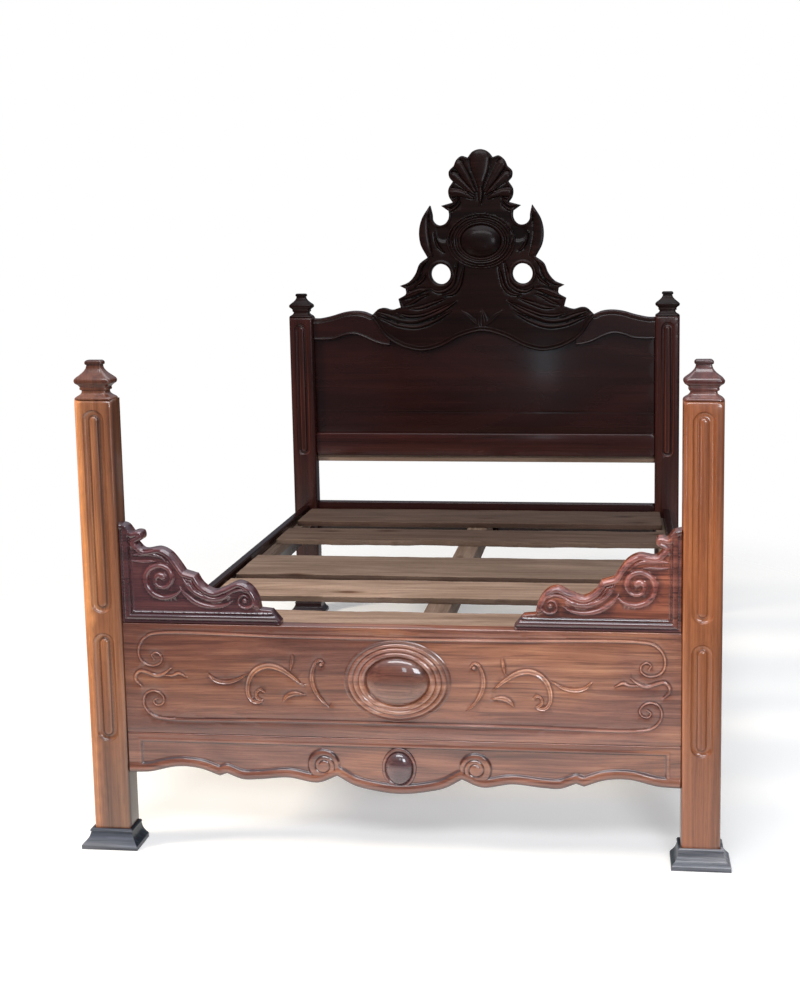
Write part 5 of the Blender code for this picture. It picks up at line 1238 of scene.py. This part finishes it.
def uprightBoard(nodeName, seams, material, slot, ease=0.0025, left=None, right=None):
    low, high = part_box(nodeName)
    a = low[0] if left is None else left
    b = high[0] if right is None else right
    loop = rectangle(a, b, low[2], high[2], 0.012)
    piece = carvedBoard(nodeName.replace("_", " "), [loop], low[1], high[1], grooveSeams(seams),
                        ease=ease, fine=0.004, coarse=12, tolerance=0.00006)
    settle(piece, frameBody, slot, material, nodeName)


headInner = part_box("head_post_right")[0][0] - seamGap
uprightBoard("head_panel", (0.900,), darkWood, "dark_wood", left=-headInner, right=headInner)
uprightBoard("head_lower_rail", (), darkSillWood, "dark_wood", 0.004, -headInner, headInner)
uprightBoard("head_back_batten", (), rawWood, "raw_wood")
uprightBoard("head_cross_rail", (), darkWood, "dark_wood", 0.004, -headInner, headInner)


def plainBoard(nodeName, material, slot, ease=0.003, tone=0.0):
    low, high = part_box(nodeName)
    verts, faces = boardBox(low, high, ease)
    piece = meshPiece(nodeName.replace("_", " "), verts, faces, np.full(len(verts), tone))
    settle(piece, frameBody, slot, material, nodeName)


for side in ("left", "right"):
    plainBoard(f"side_rail_{side}", darkRailWood, "dark_wood", 0.004)
    plainBoard(f"side_ledger_{side}", rawLongWood, "raw_wood", 0.002, -0.2)
plainBoard("centre_beam", rawLongWood, "raw_wood", 0.003, -0.1)
for end in ("foot", "head"):
    plainBoard(f"beam_cleat_{end}", rawWood, "raw_wood", 0.003, -0.2)
print("boards cut")


# rough sawn planks from one node tree: wavy waney edges, a little cup, planed marks
def roughPlankTree():
    tree = bpy.data.node_groups.new("roughPlank", "GeometryNodeTree")
    face = tree.interface
    face.new_socket("Geometry", in_out="OUTPUT", socket_type="NodeSocketGeometry")
    for label, kind in (("Size", "NodeSocketVector"), ("Middle", "NodeSocketVector"),
                        ("Wane", "NodeSocketFloat"),
                        ("Cup", "NodeSocketFloat"), ("Seed", "NodeSocketFloat"),
                        ("Finish", "NodeSocketMaterial")):
        face.new_socket(label, in_out="INPUT", socket_type=kind)
    start = tree.nodes.new("NodeGroupInput")
    end = tree.nodes.new("NodeGroupOutput")

    def math2(operation, a, b):
        made = tree.nodes.new("ShaderNodeMath")
        made.operation = operation
        for slot, value in zip(made.inputs, (a, b)):
            if isinstance(value, (int, float)):
                slot.default_value = value
            else:
                tree.links.new(value, slot)
        return made.outputs[0]

    cube = node(tree, "GeometryNodeMeshCube", (0, 0))
    cube.inputs["Vertices X"].default_value = 150
    cube.inputs["Vertices Y"].default_value = 16
    cube.inputs["Vertices Z"].default_value = 3
    spot = tree.nodes.new("GeometryNodeInputPosition")
    split = tree.nodes.new("ShaderNodeSeparateXYZ")
    sizes = tree.nodes.new("ShaderNodeSeparateXYZ")
    wire(tree, (start.outputs["Size"], cube.inputs["Size"]), (start.outputs["Size"], sizes.inputs[0]),
         (spot.outputs[0], split.inputs[0]))
    share = math2("DIVIDE", split.outputs["Y"], math2("MULTIPLY", sizes.outputs["Y"], 0.5))
    mask = math2("POWER", math2("ABSOLUTE", share, 0), 5.0)
    sign = math2("SIGN", share, 0)
    edgeNoise = node(tree, "ShaderNodeTexNoise", (0, 0), noise_dimensions="4D", Scale=1.0, Detail=4.0,
                     Roughness=0.6)
    route = tree.nodes.new("ShaderNodeCombineXYZ")
    wire(tree, (math2("MULTIPLY", split.outputs["X"], 4.5), route.inputs["X"]),
         (route.outputs[0], edgeNoise.inputs["Vector"]),
         (math2("ADD", start.outputs["Seed"], math2("MULTIPLY", sign, 7.3)), edgeNoise.inputs["W"]))
    bite = math2("MAXIMUM", math2("SUBTRACT", edgeNoise.outputs["Fac"], 0.42), 0.0)
    inward = math2("MULTIPLY", math2("MULTIPLY", bite, start.outputs["Wane"]),
                   math2("MULTIPLY", mask, math2("MULTIPLY", sign, -5.0)))
    grainNoise = node(tree, "ShaderNodeTexNoise", (0, 0), noise_dimensions="4D", Scale=1.0, Detail=3.0,
                      Roughness=0.5)
    scaled = tree.nodes.new("ShaderNodeVectorMath")
    scaled.operation = "MULTIPLY"
    scaled.inputs[1].default_value = (1.5, 22.0, 0.0)
    wire(tree, (spot.outputs[0], scaled.inputs[0]), (scaled.outputs[0], grainNoise.inputs["Vector"]),
         (start.outputs["Seed"], grainNoise.inputs["W"]))
    upper = math2("GREATER_THAN", split.outputs["Z"], 0.0)
    ripple = math2("MULTIPLY", math2("SUBTRACT", grainNoise.outputs["Fac"], 0.6), 0.0030)
    droop = math2("MULTIPLY", math2("MULTIPLY", math2("POWER", math2("ABSOLUTE", share, 0), 2.0),
                                    start.outputs["Cup"]), -1.0)
    lift = math2("MULTIPLY", upper, math2("ADD", ripple, droop))
    move = tree.nodes.new("ShaderNodeCombineXYZ")
    wire(tree, (inward, move.inputs["Y"]), (lift, move.inputs["Z"]))
    shift = tree.nodes.new("GeometryNodeSetPosition")
    carry = tree.nodes.new("GeometryNodeTransform")
    real = tree.nodes.new("GeometryNodeRealizeInstances")
    paint = tree.nodes.new("GeometryNodeSetMaterial")
    wire(tree, (cube.outputs["Mesh"], shift.inputs["Geometry"]),
         (move.outputs[0], shift.inputs["Offset"]),
         (shift.outputs[0], carry.inputs["Geometry"]), (start.outputs["Middle"],
                                                        carry.inputs["Translation"]),
         (carry.outputs[0], real.inputs[0]), (real.outputs[0], paint.inputs["Geometry"]),
         (start.outputs["Finish"], paint.inputs["Material"]), (paint.outputs[0], end.inputs[0]))
    return tree


def fromTree(name, tree, values):  # run a node tree on an empty object and keep the plain mesh
    holder = bpy.data.objects.new(name, bpy.data.meshes.new(name))
    bpy.context.scene.collection.objects.link(holder)
    modifier = holder.modifiers.new("build", "NODES")
    modifier.node_group = tree
    for item in tree.interface.items_tree:
        if item.in_out == "INPUT" and item.name in values:
            modifier[item.identifier] = values[item.name]
    graph = bpy.context.evaluated_depsgraph_get()
    mesh = bpy.data.meshes.new_from_object(holder.evaluated_get(graph), depsgraph=graph)
    bpy.data.objects.remove(holder)
    return mesh


# tone: planks painted darker towards the head end, a painted shade; edge: painted shade on the side
# faces
slats = dict(tone={1: 1.0, 2: 1.0, 3: 0.95, 4: -0.15, 5: -0.70, 6: -0.76},
             edge={1: -0.5, 2: -0.5, 3: -0.5, 4: -0.85, 5: -0.6, 6: -1.0},
             wane={1: 0.006, 2: 0.010, 3: 0.008, 4: 0.008, 5: 0.012, 6: 0.009})
plankTree = roughPlankTree()
for number in range(1, 7):
    low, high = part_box(f"slat_{number}")
    size = [high[k] - low[k] for k in range(3)]
    middle = [(high[k] + low[k]) / 2 for k in range(3)]
    mesh = fromTree(f"plank{number}", plankTree, {"Size": size, "Middle": middle,
                                                  "Wane": slats["wane"][number], "Cup": 0.0010,
                                                  "Seed": number * 3.17, "Finish": rawWood})
    bm = bmesh.new()
    bm.from_mesh(mesh)
    sharp = [e for e in bm.edges if len(e.link_faces) == 2 and e.calc_face_angle() > 1.0]
    bmesh.ops.bevel(bm, geom=sharp, offset=0.0018, segments=2, profile=0.5, affect="EDGES")
    verts = [v.co[:] for v in bm.verts]
    faces = [[v.index for v in f.verts] for f in bm.faces]
    # top faces take the plank's tone, the rest the painted shade of the edges
    shade = [slats["tone"][number] if v.co.z > middle[2] and abs(v.normal.y) < 0.8
             else slats["edge"][number]
             for v in bm.verts]
    bm.free()
    piece = meshPiece(f"slat {number}", verts, faces, shade)
    settle(piece, f"slat_{number}", "raw_wood", rawWood, f"slat_{number}")
print("slats sawn")

# metal fittings and dowels stay as the frame has them and only get a finish
bareSteel = bpy.data.materials.new("bare steel")
bareSteel.use_nodes = True
steelTree = bareSteel.node_tree
steel = steelTree.nodes["Principled BSDF"]
steel.inputs["Metallic"].default_value = 1.0
steel.inputs["Roughness"].default_value = 0.42
spots = node(steelTree, "ShaderNodeTexNoise", (-700, 0), Scale=90.0, Detail=5.0, Roughness=0.65)
place = node(steelTree, "ShaderNodeTexCoord", (-900, 0))
tint = ramp(steelTree, (-450, 0), [(0.35, (0.16, 0.11, 0.085)), (0.55, (0.36, 0.35, 0.34)),
                                   (0.75, (0.48, 0.47, 0.46))])
wire(steelTree, (place.outputs["Object"], spots.inputs["Vector"]),
     (spots.outputs["Fac"], tint.inputs["Fac"]),
     (tint.outputs["Color"], steel.inputs["Base Color"]))
for name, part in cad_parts.items():
    if "plate" in name or "dowel" in name:
        part.data.materials.clear()
        part.data.materials.append(bareSteel if "plate" in name else rawWood)

# camera, light and floor
camera = bpy.data.objects.new("camera", bpy.data.cameras.new("camera"))
bpy.context.scene.collection.objects.link(camera)
view = dict(place=(0.5673, -4.0098, 1.6019), yaw=0.0899, pitch=0.1115, roll=-0.0097, focal=1185.3,
            middle=(508.53, 381.57))
yaw, pitch, roll = view["yaw"], view["pitch"], view["roll"]
ahead = Vector((-math.sin(yaw), math.cos(yaw), 0))
across = Vector((math.cos(yaw), math.sin(yaw), 0))
upright = Vector((0, 0, 1))
forward = math.cos(pitch) * ahead - math.sin(pitch) * upright
overhead = math.sin(pitch) * ahead + math.cos(pitch) * upright
right = math.cos(roll) * across + math.sin(roll) * overhead
top = -math.sin(roll) * across + math.cos(roll) * overhead
camera.matrix_world = Matrix((right, top, -forward)).transposed().to_4x4()
camera.location = view["place"]
camera.data.sensor_width = 36.0
camera.data.lens = 36.0 * view["focal"] / 1000
camera.data.shift_x = (400 - view["middle"][0]) / 1000
camera.data.shift_y = (view["middle"][1] - 500) / 1000
camera.data.clip_end = 100
bpy.context.scene.camera = camera

lamps = dict(sun=((-4.7, -1.75, 2.9), (0.9, 0.9), 230, (1.0, 0.87, 0.68)),
             sky=((2.14, -4.75, 1.87), (1.3, 1.3), 62, (0.88, 0.94, 1.0)),
             top=((0.2, -0.6, 4.6), (4.0, 3.0), 95, (0.95, 0.97, 1.0)),
             front=((-0.2, -4.4, 4.4), (4.4, 1.2), 140, (0.96, 0.97, 1.0)),
             card=((0.07, -2.2, 0.82), (0.13, 0.30), 0.7, (0.72, 0.90, 1.0)))
# the sun only lights, its mirror image would sparkle; the card is only seen mirrored in the head panel
for name, (spot, size, power, colour) in lamps.items():
    lamp = bpy.data.lights.new(name, "AREA")
    lamp.shape = "RECTANGLE"
    lamp.size, lamp.size_y = size
    lamp.energy = power
    lamp.color = colour
    holder = bpy.data.objects.new(name, lamp)
    holder.location = spot
    holder.visible_glossy = name != "sun"
    holder.visible_diffuse = name != "card"
    holder.visible_camera = name != "card"
    aim = (0.27, 1.06, 1.10) if name == "card" else (0, -0.2, 0.7)
    holder.rotation_euler = (Vector(aim) - Vector(spot)).to_track_quat("-Z", "Y").to_euler()
    bpy.context.scene.collection.objects.link(holder)

world = bpy.data.worlds.new("studio")
bpy.context.scene.world = world
world.use_nodes = True
skyTree = world.node_tree
sky = skyTree.nodes["Background"]
rays = node(skyTree, "ShaderNodeLightPath", (-1100, 0))
course = node(skyTree, "ShaderNodeTexCoord", (-1300, -300))
climb = node(skyTree, "ShaderNodeSeparateXYZ", (-1100, -300))
rise = node(skyTree, "ShaderNodeMapRange", (-900, -300), interpolation_type="SMOOTHSTEP", From_Min=0.2,
            From_Max=0.8, To_Max=0.9)
# the varnish mirrors a bright sky overhead
mirror = node(skyTree, "ShaderNodeMath", (-700, -200), operation="MULTIPLY")
seen = node(skyTree, "ShaderNodeMath", (-700, 0), operation="MAXIMUM")
either = node(skyTree, "ShaderNodeMath", (-500, 0), operation="MAXIMUM")
level = node(skyTree, "ShaderNodeMapRange", (-300, 0), To_Min=0.20)
hue = ramp(skyTree, (-400, 250), [(0.0, (1, 1, 1)), (1.0, (0.78, 0.86, 1.0))])
wire(skyTree, (rays.outputs["Is Camera Ray"], seen.inputs[0]),
     (rays.outputs["Is Transmission Ray"], seen.inputs[1]),
     (course.outputs["Generated"], climb.inputs["Vector"]), (climb.outputs["Z"], rise.inputs["Value"]),
     (rise.outputs["Result"], mirror.inputs[0]), (rays.outputs["Is Glossy Ray"], mirror.inputs[1]),
     (seen.outputs[0], either.inputs[0]), (mirror.outputs[0], either.inputs[1]),
     (either.outputs[0], level.inputs["Value"]),
     (rays.outputs["Is Glossy Ray"], hue.inputs["Fac"]), (hue.outputs["Color"], sky.inputs["Color"]),
     (level.outputs["Result"], sky.inputs["Strength"]))

paleFloor = bpy.data.materials.new("pale floor")  # fades into the white round the bed
paleFloor.use_nodes = True
floorTree = paleFloor.node_tree
boards = floorTree.nodes["Principled BSDF"]
boards.inputs["Base Color"].default_value = (0.9, 0.9, 0.9, 1.0)
boards.inputs["Roughness"].default_value = 0.85
boards.inputs["Emission Color"].default_value = (1.0, 1.0, 1.0, 1.0)
boards.inputs["Emission Strength"].default_value = 0.25
clear = node(floorTree, "ShaderNodeBsdfTransparent", (0, -300))
fade = node(floorTree, "ShaderNodeMixShader", (250, 0))
ground = node(floorTree, "ShaderNodeTexCoord", (-900, -200))
squeeze = node(floorTree, "ShaderNodeMapping", (-700, -200))
squeeze.inputs["Scale"].default_value = (1.0, 0.8, 1.0)
reach = node(floorTree, "ShaderNodeVectorMath", (-500, -200), operation="LENGTH")
edge = node(floorTree, "ShaderNodeMapRange", (-300, -200), interpolation_type="SMOOTHSTEP")
edge.inputs["From Min"].default_value = 0.9
edge.inputs["From Max"].default_value = 2.6
wire(floorTree, (ground.outputs["Object"], squeeze.inputs["Vector"]),
     (squeeze.outputs["Vector"], reach.inputs[0]),
     (reach.outputs["Value"], edge.inputs["Value"]), (edge.outputs["Result"], fade.inputs["Fac"]),
     (boards.outputs[0], fade.inputs[1]),
     (clear.outputs[0], fade.inputs[2]),
     (fade.outputs[0], floorTree.nodes["Material Output"].inputs["Surface"]))
floorMesh = bpy.data.meshes.new("floor")
floorMesh.from_pydata([(-14, -14, 0), (14, -14, 0), (14, 14, 0), (-14, 14, 0)], [], [(0, 1, 2, 3)])
floorMesh.materials.append(paleFloor)
floor = bpy.data.objects.new("floor", floorMesh)
bpy.context.scene.collection.objects.link(floor)
bpy.context.scene.view_settings.view_transform = "Standard"
print("camera and light set")
